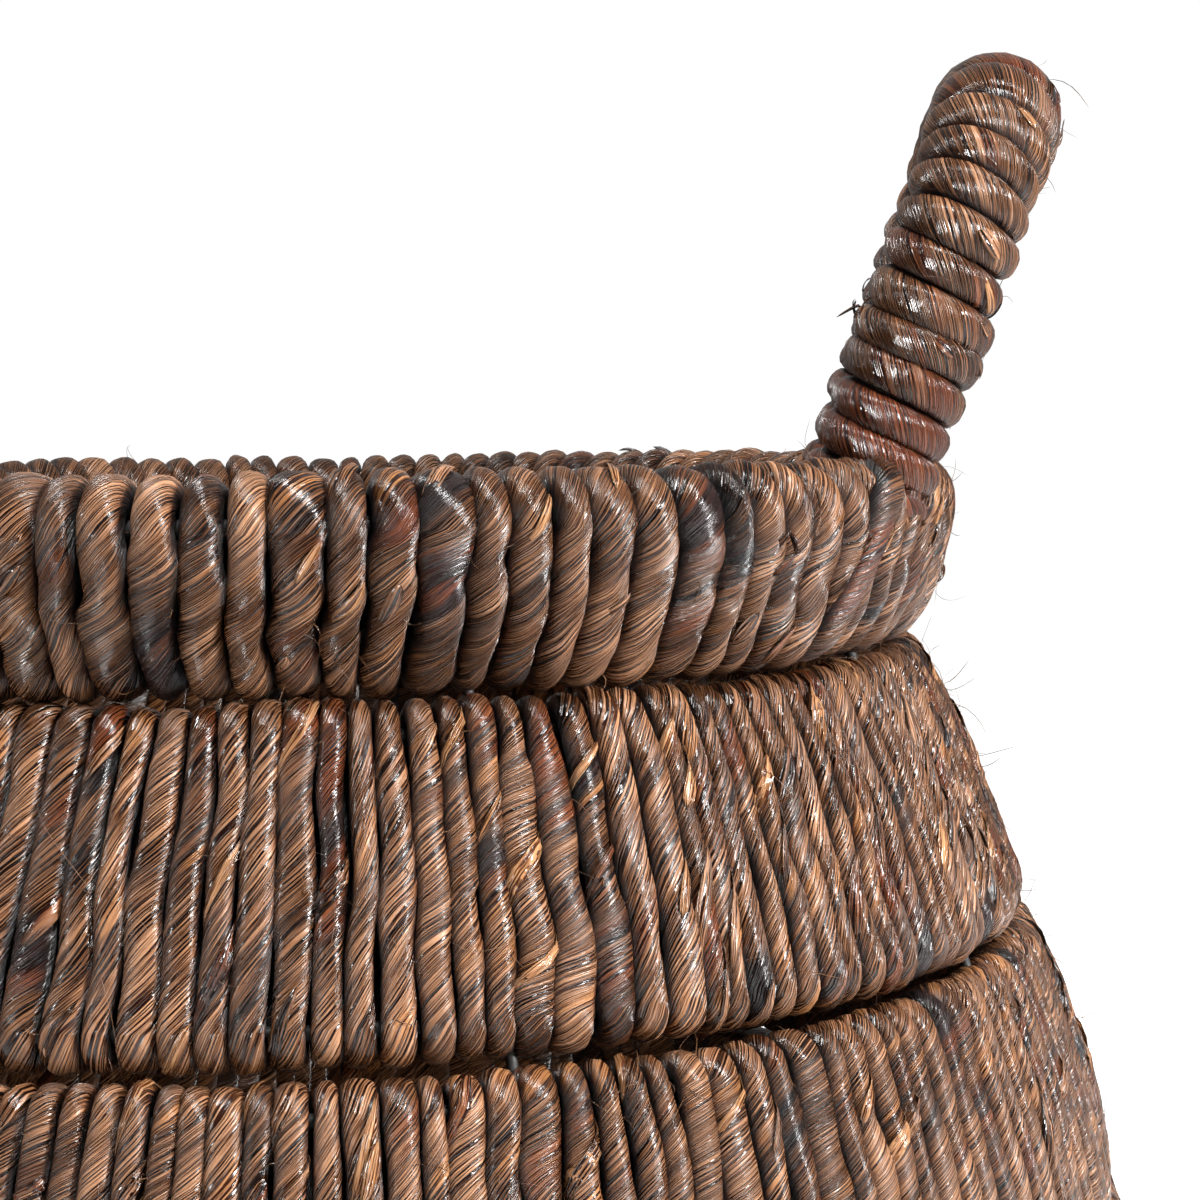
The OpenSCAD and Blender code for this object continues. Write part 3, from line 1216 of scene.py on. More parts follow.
class FibreGroups:
    """Shader node groups that every rope finish shares, each built once."""

    FINE = Lines(1.0, 50.0, 3.0)
    COARSE = Lines(2.8, 45.0, 8.0)
    FLECK = Lines(1.3, 420.0, 15.0)
    BEND = Patch(90.0, 70.0, 0.0, 2.0)
    BEND_REACH = 1.2 * MM
    STRIPS_ALONG = 30.0

    SHADE = Patch(75.0, 28.0, 1.0, 3.0)
    LEAF = Patch(105.0, 26.0, 21.0, 0.0)
    RUST = Patch(60.0, 14.0, 9.0, 2.0)
    INK = Patch(45.0, 9.0, 4.0, 3.0)
    WORN = Patch(30.0, 8.0, 33.0, 2.0)

    # How much each adds to the lightness
    TONE_WEIGHT = 0.15
    STRIP_WEIGHT = 0.22
    SHADE_WEIGHT = 0.9
    FINE_WEIGHT = 0.65
    COARSE_WEIGHT = 0.5

    # Where a patch starts at a share of 0, how far a share of 1 moves that, and the edge's width
    LEAF_EDGE = (0.78, -0.3, 0.04)
    RUST_EDGE = (0.7, -0.4, 0.14)
    INK_EDGE = (0.72, -0.9, 0.1)
    # How much a dark turn adds to the patches of rust and of ink on it
    RUST_TONE = -0.08
    INK_TONE = -0.11
    INK_COVER = 0.85
    # How much faster green and blue fall than red in the painted shade of the gaps, creases and
    # grooves
    FADE_GREEN = 1.35
    FADE_BLUE = 1.7

    def __init__(self) -> None:
        """Builds the groups."""
        self.fibres = self._fibres()
        self.dye = self._dye()

    @staticmethod
    def patch(bench: NodeBench, across: Any, run: Any, patch: Patch, rough: float = 0.6) -> Any:
        """Adds a slow noise over the fibres.

        Args:
            bench: The bench to add it on.
            across: Place across the fibres.
            run: Place along them.
            patch: What the noise is like.
            rough: How strong its finer parts are.

        Returns:
            The noise's value.
        """
        at = bench.triple(
            bench.math("MULTIPLY", across, patch.across),
            bench.math("MULTIPLY", run, patch.along),
            patch.lane,
        )
        return bench.noise(at, detail=patch.detail, rough=rough)

    def _fibres(self) -> bpy.types.NodeTree:
        """Builds the twisted fibres: fine lines, the strips they lie in, and the creases between.

        Returns:
            The node group.
        """
        bench, given, end = group_tree(
            "Twisted fibres",
            "ShaderNodeTree",
            {
                "Fibre": ("NodeSocketVector", None),
                "Fibre Width": ("NodeSocketFloat", 0.0004),
                "Strip Width": ("NodeSocketFloat", 0.003),
            },
            {
                "Fine": "NodeSocketFloat",
                "Coarse": "NodeSocketFloat",
                "Strip": "NodeSocketFloat",
                "Crease": "NodeSocketFloat",
                "Fleck": "NodeSocketFloat",
            },
        )
        parts = bench.add("ShaderNodeSeparateXYZ", {0: given["Fibre"]})
        across, run = parts.outputs[0], parts.outputs[1]

        def drawn(lines: Lines) -> Any:
            """Returns a noise drawn out along the fibres."""
            width = bench.math("MULTIPLY", given["Fibre Width"], lines.widths)
            sideways = bench.math("DIVIDE", bent, width)
            at = bench.triple(sideways, bench.math("MULTIPLY", run, lines.along), lines.lane)
            return bench.noise(at, detail=1.0)

        stray = bench.math("SUBTRACT", self.patch(bench, across, run, self.BEND, 0.5), 0.5)
        bent = bench.math("ADD", across, bench.math("MULTIPLY", stray, self.BEND_REACH))
        fine = bench.spread(drawn(self.FINE), 0.38, 0.62)
        coarse = drawn(self.COARSE)
        fleck = drawn(self.FLECK)
        strip_at = bench.triple(
            bench.math("DIVIDE", bent, given["Strip Width"]),
            bench.math("MULTIPLY", run, self.STRIPS_ALONG),
            0.0,
        )
        cells = bench.add(
            "ShaderNodeTexVoronoi", {"Vector": strip_at, "Scale": 1.0}, voronoi_dimensions="2D"
        )
        shade = bench.add("ShaderNodeSeparateXYZ", {0: cells.outputs["Color"]})
        edges = bench.add(
            "ShaderNodeTexVoronoi",
            {"Vector": strip_at, "Scale": 1.0},
            voronoi_dimensions="2D",
            feature="DISTANCE_TO_EDGE",
        )
        bench.feed(end.inputs["Fine"], fine)
        bench.feed(end.inputs["Coarse"], coarse)
        bench.feed(end.inputs["Strip"], shade.outputs[0])
        bench.feed(end.inputs["Crease"], bench.spread(edges.outputs["Distance"], 0.0, 0.1))
        bench.feed(end.inputs["Fleck"], bench.spread(fleck, 0.5, 0.7))
        return bench.tree

    def _dye(self) -> bpy.types.NodeTree:
        """Builds the dye and the bare bark: where a strip is dark, red, bleached or lacquered, and
        the painted shade that darkens the gaps between turns, the creases between strips and the
        grooves between fibres.

        Returns:
            The node group.
        """
        bench, given, end = group_tree(
            "Dyed bark",
            "ShaderNodeTree",
            {
                "Fibre": ("NodeSocketVector", None),
                "Fine": ("NodeSocketFloat", 0.5),
                "Coarse": ("NodeSocketFloat", 0.5),
                "Strip": ("NodeSocketFloat", 0.5),
                "Crease": ("NodeSocketFloat", 1.0),
                "Crown": ("NodeSocketFloat", 1.0),
                "Lightness": ("NodeSocketFloat", 0.5),
                "Contrast": ("NodeSocketFloat", 1.0),
                "Rust Share": ("NodeSocketFloat", 0.3),
                "Ink Share": ("NodeSocketFloat", 0.1),
                "Leaf Share": ("NodeSocketFloat", 0.3),
                "Deep": ("NodeSocketColor", (0.014, 0.0045, 0.002, 1.0)),
                "Bark": ("NodeSocketColor", (0.105, 0.041, 0.015, 1.0)),
                "Pale": ("NodeSocketColor", (0.31, 0.155, 0.08, 1.0)),
                "Rust": ("NodeSocketColor", (0.125, 0.033, 0.012, 1.0)),
                "Leaf": ("NodeSocketColor", (0.29, 0.125, 0.045, 1.0)),
                "Straw": ("NodeSocketColor", (0.33, 0.165, 0.075, 1.0)),
                "Ink": ("NodeSocketColor", (0.004, 0.0055, 0.0075, 1.0)),
            },
            {"Color": "NodeSocketColor", "Lacquer": "NodeSocketFloat"},
        )
        parts = bench.add("ShaderNodeSeparateXYZ", {0: given["Fibre"]})
        across, run, tone = parts.outputs

        def over(patch: Patch) -> Any:
            """Returns a slow noise over these fibres."""
            return self.patch(bench, across, run, patch)

        def patched(value: Any, share: str, edge: tuple[float, float, float]) -> Any:
            """Returns where a noise makes a patch, for a share that the material sets."""
            start, reach, soft = edge
            low = bench.math("MULTIPLY_ADD", given[share], reach, start)
            return bench.spread(value, low, bench.math("ADD", low, soft))

        def stained(colour: Any, mask: Any, kept: Any, stain: str) -> Any:
            """Returns a colour with a stain over it."""
            return bench.blend(bench.math("MULTIPLY", mask, kept), colour, given[stain])

        light = bench.math("MULTIPLY", bench.math("MINIMUM", tone, 2.0), self.TONE_WEIGHT)
        for term, weight in (
            (given["Strip"], self.STRIP_WEIGHT),
            (over(self.SHADE), self.SHADE_WEIGHT),
            (given["Fine"], self.FINE_WEIGHT),
            (given["Coarse"], self.COARSE_WEIGHT),
        ):
            light = bench.math("MULTIPLY_ADD", bench.math("SUBTRACT", term, 0.5), weight, light)
        light = bench.math("MULTIPLY_ADD", light, given["Contrast"], given["Lightness"])
        base = bench.blend(bench.spread(light, 0.0, 0.5), given["Deep"], given["Bark"])
        base = bench.blend(bench.spread(light, 0.45, 1.0), base, given["Pale"])

        leaf = patched(over(self.LEAF), "Leaf Share", self.LEAF_EDGE)
        base = stained(base, leaf, bench.spread(given["Fine"], 0.0, 0.7, 0.35, 0.85), "Leaf")
        rust_at = bench.math("MULTIPLY_ADD", tone, self.RUST_TONE, over(self.RUST))
        rust = patched(rust_at, "Rust Share", self.RUST_EDGE)
        kept = bench.spread(light, 0.35, 0.9, 0.85, 0.4)
        kept = bench.math("MULTIPLY", kept, bench.spread(given["Fine"], 0.1, 0.8, 0.5, 1.0))
        base = stained(base, rust, kept, "Rust")
        ink_at = bench.math("MULTIPLY_ADD", tone, self.INK_TONE, over(self.INK))
        ink = patched(ink_at, "Ink Share", self.INK_EDGE)
        base = stained(base, ink, self.INK_COVER, "Ink")
        bare = bench.spread(tone, 2.2, 2.6)
        base = stained(base, bare, bench.spread(given["Coarse"], 0.2, 0.6, 0.75, 1.0), "Straw")

        # Painted shade: the colour is darkened in the gaps between turns, where the crown is low, in
        # the creases between strips and in the grooves between fine fibres, with green and blue
        # falling faster than red
        low = bench.spread(given["Crown"], 0.05, 0.85, 0.06, 1.0)
        painted_shade = bench.math("MULTIPLY", low, bench.spread(given["Crease"], 0.0, 1.0, 0.72, 1.0))
        painted_shade = bench.math("MULTIPLY", painted_shade, bench.spread(given["Fine"], 0.0, 0.45, 0.16, 1.0))
        green = bench.math("POWER", painted_shade, self.FADE_GREEN)
        shade = bench.triple(painted_shade, green, bench.math("POWER", painted_shade, self.FADE_BLUE))
        base = bench.blend(1.0, base, shade, "MULTIPLY")

        dark = bench.spread(bench.math("SUBTRACT", 1.0, light), 0.3, 0.75)
        worn = bench.spread(over(self.WORN), 0.4, 0.52, 0.45, 1.0)
        worn = bench.math("MULTIPLY", bench.math("MAXIMUM", dark, 0.55), worn)
        coated = bench.math("MAXIMUM", ink, bare)
        coated = bench.math("MAXIMUM", coated, bench.math("MAXIMUM", rust, worn))
        lacquer = bench.math("MULTIPLY", coated, bench.spread(given["Crown"], 0.1, 0.7))
        bench.feed(end.inputs["Color"], base)
        bench.feed(end.inputs["Lacquer"], lacquer)
        return bench.tree


@dataclass
class RopeFinish:
    """Finish of one kind of rope.

    Attributes:
        name: The material's name.
        groups: The groups that it shares with the other ropes.
        fibre_width: Width of the finest fibres that show.
        strip_width: Width of the strips of bark that they lie in.
        lightness: How pale the bark is, from 0 to 1.
        contrast: How far the lightness strays from there.
        rust_share: How much of it is dyed red.
        ink_share: How much of it is nearly black.
        leaf_share: How much of it shows the pale side of a strip.
        relief: Depth of the fibres' relief.
        fine_relief: Share of the fine lines in it, against 1 for the coarse ones.
        crease_relief: Share of the creases between strips.
        fleck_relief: Share of the flecks.
        fleck_gloss: How much smoother a fleck is.
        gloss: Roughness where it is lacquered.
        matt: Roughness where it is bare.
        made: The material, once it is built.
    """

    name: str
    groups: FibreGroups
    fibre_width: float = 0.5 * MM
    strip_width: float = 3.2 * MM
    lightness: float = 0.385
    contrast: float = 1.0
    rust_share: float = 0.3
    ink_share: float = 0.08
    leaf_share: float = 0.3
    relief: float = 0.55 * MM
    fine_relief: float = 0.7
    crease_relief: float = 0.3
    fleck_relief: float = 0.12
    fleck_gloss: float = 0.14
    gloss: float = 0.2
    matt: float = 0.47
    made: bpy.types.Material | None = field(default=None, repr=False)

    def material(self) -> bpy.types.Material:
        """Returns the finish's material, building it the first time."""
        if self.made is None:
            self.made = self._build()
        return self.made

    def _build(self) -> bpy.types.Material:
        """Builds the material from the shared groups.

        Returns:
            The new material.
        """
        material, bench = blank_material(self.name)
        fibre = bench.add("ShaderNodeAttribute", attribute_name="fibre").outputs["Vector"]
        # The crown attribute is 1 on each rope's top; the dye darkens the colour by it as painted
        # shade between turns
        crown = bench.add("ShaderNodeAttribute", attribute_name="crown").outputs["Fac"]
        lines = bench.add(
            "ShaderNodeGroup",
            {"Fibre": fibre, "Fibre Width": self.fibre_width, "Strip Width": self.strip_width},
            node_tree=self.groups.fibres,
        ).outputs
        dye = bench.add(
            "ShaderNodeGroup",
            {
                "Fibre": fibre,
                "Crown": crown,
                "Lightness": self.lightness,
                "Contrast": self.contrast,
                "Rust Share": self.rust_share,
                "Ink Share": self.ink_share,
                "Leaf Share": self.leaf_share,
                **{name: lines[name] for name in ("Fine", "Strip", "Crease", "Coarse")},
            },
            node_tree=self.groups.dye,
        ).outputs
        satin = bench.spread(dye["Lacquer"], 0.0, 1.0, self.matt, self.gloss)
        rough = bench.math("MULTIPLY_ADD", lines["Fleck"], -self.fleck_gloss, satin)
        height = bench.math("MULTIPLY_ADD", lines["Fine"], self.fine_relief, lines["Coarse"])
        height = bench.math("MULTIPLY_ADD", lines["Crease"], self.crease_relief, height)
        height = bench.math("MULTIPLY_ADD", lines["Fleck"], self.fleck_relief, height)
        bump = bench.bump(height, 1.0, self.relief)
        finish_material(bench, {"Base Color": dye["Color"], "Roughness": rough, "Normal": bump})
        return material


def blank_material(name: str) -> tuple[bpy.types.Material, NodeBench]:
    """Starts a material with an empty tree.

    Args:
        name: The material's name.

    Returns:
        The material and a bench on its tree.
    """
    material = bpy.data.materials.new(name)
    material.use_nodes = True
    material.node_tree.nodes.clear()
    return material, NodeBench(material.node_tree)


def finish_material(bench: NodeBench, inputs: dict[str, Any]) -> None:
    """Ends a material with its shader and its output.

    Args:
        bench: The bench on the material's tree.
        inputs: What the shader's sockets take.
    """
    shader = bench.add("ShaderNodeBsdfPrincipled", inputs)
    bench.add("ShaderNodeOutputMaterial", {"Surface": shader.outputs[0]})


@dataclass(frozen=True)
class SteelFinish:
    """Black lacquered wire of the frame, a little worn."""

    name: str = "Lacquered wire"
    lacquer: tuple[float, ...] = (0.008, 0.007, 0.006, 1)
    worn: tuple[float, ...] = (0.03, 0.02, 0.014, 1)
    patches: float = 260.0
    relief: float = 0.1 * MM

    def material(self) -> bpy.types.Material:
        """Builds the material.

        Returns:
            The new material.
        """
        material, bench = blank_material(self.name)
        at = bench.add("ShaderNodeTexCoord").outputs["Object"]
        wear = bench.noise(at, self.patches, 3.0)
        colour = bench.blend(bench.spread(wear, 0.55, 0.75), self.lacquer, self.worn)
        rough = bench.spread(wear, 0.3, 0.7, 0.55, 0.8)
        bump = bench.bump(wear, 0.3, self.relief)
        finish_material(bench, {"Base Color": colour, "Roughness": rough, "Normal": bump})
        return material


@dataclass(frozen=True)
class CaneFinish:
    """Bare cane inside a handle."""

    name: str = "Bare cane"
    dark: tuple[float, ...] = (0.32, 0.18, 0.08, 1)
    pale: tuple[float, ...] = (0.55, 0.36, 0.18, 1)
    grain: tuple[float, ...] = (900, 900, 40)
    relief: float = 0.1 * MM

    def material(self) -> bpy.types.Material:
        """Builds the material.

        Returns:
            The new material.
        """
        material, bench = blank_material(self.name)
        at = bench.add("ShaderNodeTexCoord").outputs["Object"]
        drawn_out = bench.add("ShaderNodeMapping", {0: at, "Scale": self.grain}).outputs[0]
        grain = bench.noise(drawn_out)
        colour = bench.blend(grain, self.dark, self.pale)
        bump = bench.bump(grain, 0.3, self.relief)
        finish_material(bench, {"Base Color": colour, "Roughness": 0.5, "Normal": bump})
        return material


# ---- Sub-assemblies -------------------------------------------------------------------------


def hand_over(piece: bpy.types.Object, slot: str, *nodes: str) -> None:
    """Rides a piece on the basket's body, hides the CAD nodes that it replaces and logs its size.

    Args:
        piece: The finished piece.
        slot: The record's material slot; not used.
        *nodes: The CAD nodes that it replaces.
    """
    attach(piece, BODY)
    if nodes:
        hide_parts(*nodes)
    mesh = piece.data
    LOG.info("%s: %d vertices, %d faces", piece.name, len(mesh.vertices), len(mesh.polygons))


@dataclass
class WoundBand:
    """One band of rope wound over its two hoops."""

    label: str
    slot: str
    winding: Winding
    seed: int
    sides: int = 12
    bow: float = 2 * MM

    def section(self) -> WoundSection:
        """Returns the band's section, measured from its hoops."""
        low = Hoop.of(f"{self.label}_lower_hoop")
        high = Hoop.of(f"{self.label}_upper_hoop")
        return WoundSection(low, high, self.bow, low.wire + self.winding.rope.thick / 2)

    def build(self, sweep: RopeSweep, finish: RopeFinish) -> Skin:
        """Winds the band and dresses it.

        Args:
            sweep: The rope sweep.
            finish: The rope's finish.

        Returns:
            The band's surface, for its loose strips and hairs.
        """
        strands = self.winding.wind(self.section(), np.random.default_rng(self.seed))
        rope = sweep.sweep(strands, f"{self.label}_rope", finish, self.seed, Sides=self.sides)
        press_on_floor(rope.data)
        hand_over(rope, self.slot, f"{self.label}_wrap")
        return Skin(strands)


def smooth_line(knots: np.ndarray, count: int) -> np.ndarray:
    """Draws a smooth line through a few knots.

    Args:
        knots: The points to pass.
        count: How many points to return.

    Returns:
        Evenly placed points of the line.
    """
    padded = np.concatenate([2 * knots[:1] - knots[1:2], knots, 2 * knots[-1:] - knots[-2:-1]])
    place = np.linspace(0, len(knots) - 1, count)
    first = np.minimum(place.astype(int), len(knots) - 2)
    t = (place - first)[:, None]
    a, b, c, d = (padded[first + k] for k in range(4))
    slope = c - a
    square = 2 * a - 5 * b + 4 * c - d
    cube = 3 * b - a - 3 * c + d
    return 0.5 * (2 * b + slope * t + square * t**2 + cube * t**3)


@dataclass
class Handle:
    """One arched handle, its cane wound round with rope down to the rim."""

    side: Side
    seed: int
    half_span: float = 65 * MM
    rise: float = 104.6 * MM
    corner: float = 42 * MM
    lean: float = 20.5
    foot_out: float = 174 * MM
    foot_height: float = 484 * MM
    sunk: float = 13 * MM
    spiral: Spiral = Spiral(
        Rope(10.8 * MM, 11.25 * MM, uneven=0.12, fill=1.02, lay_angle=52.0, lay_spread=5.0),
        rings=36,
        reach=13.1 * MM,
        shingle=-0.22,
        proud=0.55 * MM,
        end_stain=2.4,
    )
    tail: Rope = Rope(9.6 * MM, 8.0 * MM)
    tail_points: int = 60
    rim_thick: float = 11.2 * MM
    rim_bow: float = 2 * MM
    sides: int = 16
    lumps: float = 0.7 * MM
    loop_count: int = 9
    loop_rise: float = 36 * MM
    loop_fuzz: Fuzz = Fuzz(length=10 * MM, radius=0.35 * MM, curl=2.4, pallor=-2.2)

    @property
    def label(self) -> str:
        """The handle's name in the frame."""
        return f"handle_{self.side.name.lower()}"

    def line(self) -> tuple[np.ndarray, np.ndarray]:
        """Draws the cane's line from the near foot, over the top, to the far foot.

        Returns:
            Evenly spaced points, and the direction out of the arch's plane at each.
        """
        leg_points, corner_points, bar_points = 60, 40, 28
        bend = np.linspace(0.0, math.pi / 2, corner_points)
        leg = np.linspace(-self.sunk, self.rise - self.corner, leg_points, endpoint=False)
        turn_across = -self.half_span + self.corner * (1 - np.cos(bend))
        turn_up = self.rise - self.corner * (1 - np.sin(bend))
        across = np.concatenate([np.full(leg_points, -self.half_span), turn_across])
        up = np.concatenate([leg, turn_up])
        bar = np.linspace(across[-1], -across[-1], bar_points + 2)[1:-1]
        across = np.concatenate([across, bar, -across[::-1]])
        up = np.concatenate([up, np.full(bar_points, self.rise), up[::-1]])
        lean = math.radians(self.lean)
        sign = self.side.value
        line = np.stack([
            sign * (self.foot_out + up * math.sin(lean)),
            sign * across,
            self.foot_height + up * math.cos(lean),
        ], axis=1)
        normal = np.array([sign * math.cos(lean), 0.0, -math.sin(lean)])
        return line, np.tile(normal, (len(line), 1))

    def build(self, sweep: RopeSweep, finish: RopeFinish) -> Skin:
        """Winds the handle's rope.

        Args:
            sweep: The rope sweep.
            finish: The rope's finish.

        Returns:
            The rope's surface.
        """
        line, normal = self.line()
        strands = self.spiral.wind(line, normal, False, np.random.default_rng(self.seed))
        skin = Skin(strands)
        rng = np.random.default_rng(self.seed + 5)
        tails = Strands.joined([self.foot_tail(foot, rng) for foot in (-1, 1)])
        rope_sizes = {"Sides": self.sides, "Lump_Relief": self.lumps}
        name, seed = self.label, self.seed
        rope = sweep.sweep(strands, f"{name}_rope", finish, seed, **rope_sizes)
        hand_over(rope, "handle_rope", f"{name}_wrap")
        tail = sweep.sweep(tails, f"{name}_tails", finish, seed + 6, Sides=self.sides)
        hand_over(tail, "handle_rope")
        frays = {"Sides": 6, "Strand_Relief": 0.0}
        loops = sweep.sweep(self.loops(skin, rng), f"{name}_loops", finish, seed + 7, **frays)
        hand_over(loops, "handle_rope")
        return skin

    def loops(self, skin: Skin, rng: np.random.Generator) -> Strands:
        """Pulls a few dark loops of frayed bark out of a leg's inner side.

        Args:
            skin: The rope's surface.
            rng: The seeded source.

        Returns:
            The loops.
        """
        lean = math.radians(self.lean)
        sign = self.side.value
        rise, side = self.loop_rise, self.spiral.reach
        spot = np.array([
            sign * (self.foot_out + rise * math.sin(lean) - side * math.cos(lean)),
            -sign * self.half_span,
            self.foot_height + rise * math.cos(lean) + side * math.sin(lean),
        ])
        nearest = np.argmin(np.linalg.norm(skin.rope.centre[0] - spot, axis=1))
        place = nearest + rng.uniform(-3, 3, self.loop_count)
        turn = rng.normal(0.0, 0.3, self.loop_count)
        return skin.hairs(self.loop_count, rng, self.loop_fuzz, (place, turn))

    def foot_tail(self, foot: int, rng: np.random.Generator) -> Strands:
        """Leads the handle's rope from a foot over the rim and down its outer face.

        Args:
            foot: Which foot, as a sign along the span.
            rng: The seeded source.

        Returns:
            The rope's end.
        """
        low, high = Hoop.of("rim_lower_hoop"), Hoop.of("rim_upper_hoop")
        rim = WoundSection(low, high, self.rim_bow, high.wire + self.rim_thick / 2)
        trace = rim.trace(face=12, cap=12, back=8)
        ahead = math.atan2(foot * self.half_span, self.foot_out)
        # Rings of the rim's section that it passes, then how many degrees round the rim from the
        # foot it has come at each, and how far it lies above the rim's rope there
        picks = [20, 17, 14, 12, 9, 6, 3, 0, -3, -6]
        stray = np.array([0.5, 3.6, 6.6, 8.6, 9.8, 10.8, 11.7, 12.5, 13.0, 13.2])
        lift = np.array([0.5, 3.2, 4.8, 4.6, 4.2, 3.9, 3.7, 3.5, 1.5, -1.5]) * MM
        angle = ahead + foot * np.radians(stray)
        radius = trace.at[picks, 0] + trace.out[picks, 0] * lift
        height = trace.at[picks, 1] + trace.out[picks, 1] * lift
        knots = np.stack([radius * np.cos(angle), radius * np.sin(angle), height], axis=1)
        facing = np.stack([
            trace.out[picks, 0] * np.cos(angle),
            trace.out[picks, 0] * np.sin(angle),
            trace.out[picks, 1],
        ], axis=1)
        turned = np.array([self.side.value, self.side.value, 1.0])
        centre = smooth_line(knots * turned, self.tail_points)
        out = smooth_line(facing * turned, self.tail_points)
        way = np.gradient(centre, axis=0)
        way /= np.linalg.norm(way, axis=1, keepdims=True)
        out -= way * np.einsum("ij,ij->i", out, way)[:, None]
        out /= np.linalg.norm(out, axis=1, keepdims=True)
        full = np.ones((1, self.tail_points))
        from_start = np.arange(self.tail_points)
        from_end = np.minimum(from_start, from_start[::-1])
        end = np.clip(from_end / 4, 0.02, 1.0)[None] ** 0.5
        return Strands(
            centre[None],
            out[None],
            self.tail.width / 2 * end,
            self.tail.thick / 2 * end,
            full * -1.0,
            self.tail.twist(centre[None], rng),
            full * 0.1,
            self.tail.girth,
        )


@dataclass
class Base:
    """Rows of rope woven over and under the base's bars, and the rope bound round its hoop."""

    row_pitch: float = 8.5 * MM
    overlap: float = 1.28
    rope: Rope = Rope(8.5 * MM, 6.0 * MM)
    bar_radius: float = 2.0 * MM
    bar_pitch: float = 44 * MM
    reach: float = 177 * MM
    binding: Spiral = Spiral(
        Rope(8.3 * MM, 6.4 * MM, uneven=0.1, fill=1.08), rings=16, reach=7.0 * MM
    )
    row_points: int = 72
    row_stray: float = 0.3 * MM
    hoop_points: int = 720
    lumps: float = 0.2 * MM
    seed: int = 61

    def weave(self, height: float, rng: np.random.Generator) -> Strands:
        """Lays the woven rows.

        Args:
            height: Height of the bars' middle.
            rng: The seeded source.

        Returns:
            The rows.
        """
        last = int(0.97 * self.reach / self.row_pitch)
        number = np.arange(-last, last + 1)
        across = number * self.row_pitch
        half = np.sqrt(self.reach**2 - across**2)
        t = np.linspace(-1, 1, self.row_points)[None, :]
        along = t * half[:, None]
        climb = (self.bar_radius + self.rope.thick / 2) * np.ones_like(along)
        phase = math.pi * along / self.bar_pitch + math.pi * number[:, None]
        centre = np.stack([
            across[:, None] + self.row_stray * np.sin(along * 60 + number[:, None]),
            along,
            height + climb * np.cos(phase),
        ], axis=-1)
        way = np.gradient(centre, axis=1)
        out = np.stack([np.zeros_like(along), -way[..., 2], way[..., 1]], axis=-1)
        out /= np.linalg.norm(out, axis=-1, keepdims=True)
        full = np.ones_like(along)
        tone = rng.normal(0, 0.9, len(number))[:, None] * full
        return Strands(
            centre,
            out,
            full * self.rope.width * self.overlap / 2,
            full * self.rope.thick / 2,
            tone,
            self.rope.twist(centre, rng),
            full * 0.0,
            self.rope.girth,
        )

    def build(self, sweep: RopeSweep, finish: RopeFinish) -> None:
        """Weaves and binds the base.

        Args:
            sweep: The rope sweep.
            finish: The rope's finish.
        """
        hoop = Hoop.of("base_hoop")
        rope_sizes = {"Sides": 12, "Lump_Relief": self.lumps}
        row_seed, edge_seed = self.seed, self.seed + 1
        rows = self.weave(hoop.height, np.random.default_rng(row_seed))
        woven = sweep.sweep(rows, "base_rows", finish, row_seed, **rope_sizes)
        hand_over(woven, "base_rope", "base_weave")
        turn = np.linspace(0, TAU, self.hoop_points, endpoint=False)
        radial = np.stack([np.cos(turn), np.sin(turn), np.zeros_like(turn)], axis=1)
        ring = radial * hoop.radius + np.array([0, 0, hoop.height])
        bound = self.binding.wind(ring, radial, True, np.random.default_rng(edge_seed))
        edge = sweep.sweep(bound, "base_edge_rope", finish, edge_seed, **rope_sizes)
        hand_over(edge, "base_rope", "base_binding")


@dataclass
class Frays:
    """Loose strips of bark and single hairs that stand off the rope."""

    strips: int
    hairs: int
    seed: int
    peel: Peel
    fuzz: Fuzz = Fuzz()
    floor_room: float = 1.0 * MM

    def build(
        self, sweep: RopeSweep, finish: RopeFinish, skins: list[Skin], label: str, slot: str
    ) -> None:
        """Peels strips and pulls hairs from a lot of ropes.

        Args:
            sweep: The rope sweep.
            finish: The finish they share with the rope.
            skins: The ropes' surfaces.
            label: What the pieces' names start with.
            slot: The record's material slot.
        """
        rng = np.random.default_rng(self.seed)
        share = 1 / len(skins)
        strips = [skin.strips(int(self.strips * share), rng, self.peel) for skin in skins]
        hairs = [skin.hairs(int(self.hairs * share), rng, self.fuzz) for skin in skins]
        plain_sizes = {
            "Front_Share": 0.0,
            "Edge_Shade": 0.25,
            "Strand_Relief": 0.0,
            "Lump_Relief": 0.0,
        }
        lots = (("strips", strips, self.seed, 6), ("hairs", hairs, self.seed + 1, 3))
        for kind, lot, seed, sides in lots:
            lines = Strands.joined(lot).above(self.floor_room)
            name = f"{label}_{kind}"
            piece = sweep.sweep(lines, name, finish, seed, Sides=sides, **plain_sizes)
            hand_over(piece, slot)


# ---- Studio ---------------------------------------------------------------------------------


@dataclass(frozen=True)
class Lamp:
    """A soft square light.

    Attributes:
        name: The light's name.
        place: Where it hangs.
        size: The length of its side.
        power: Its power in watts.
    """

    name: str
    place: tuple[float, float, float]
    size: float
    power: float


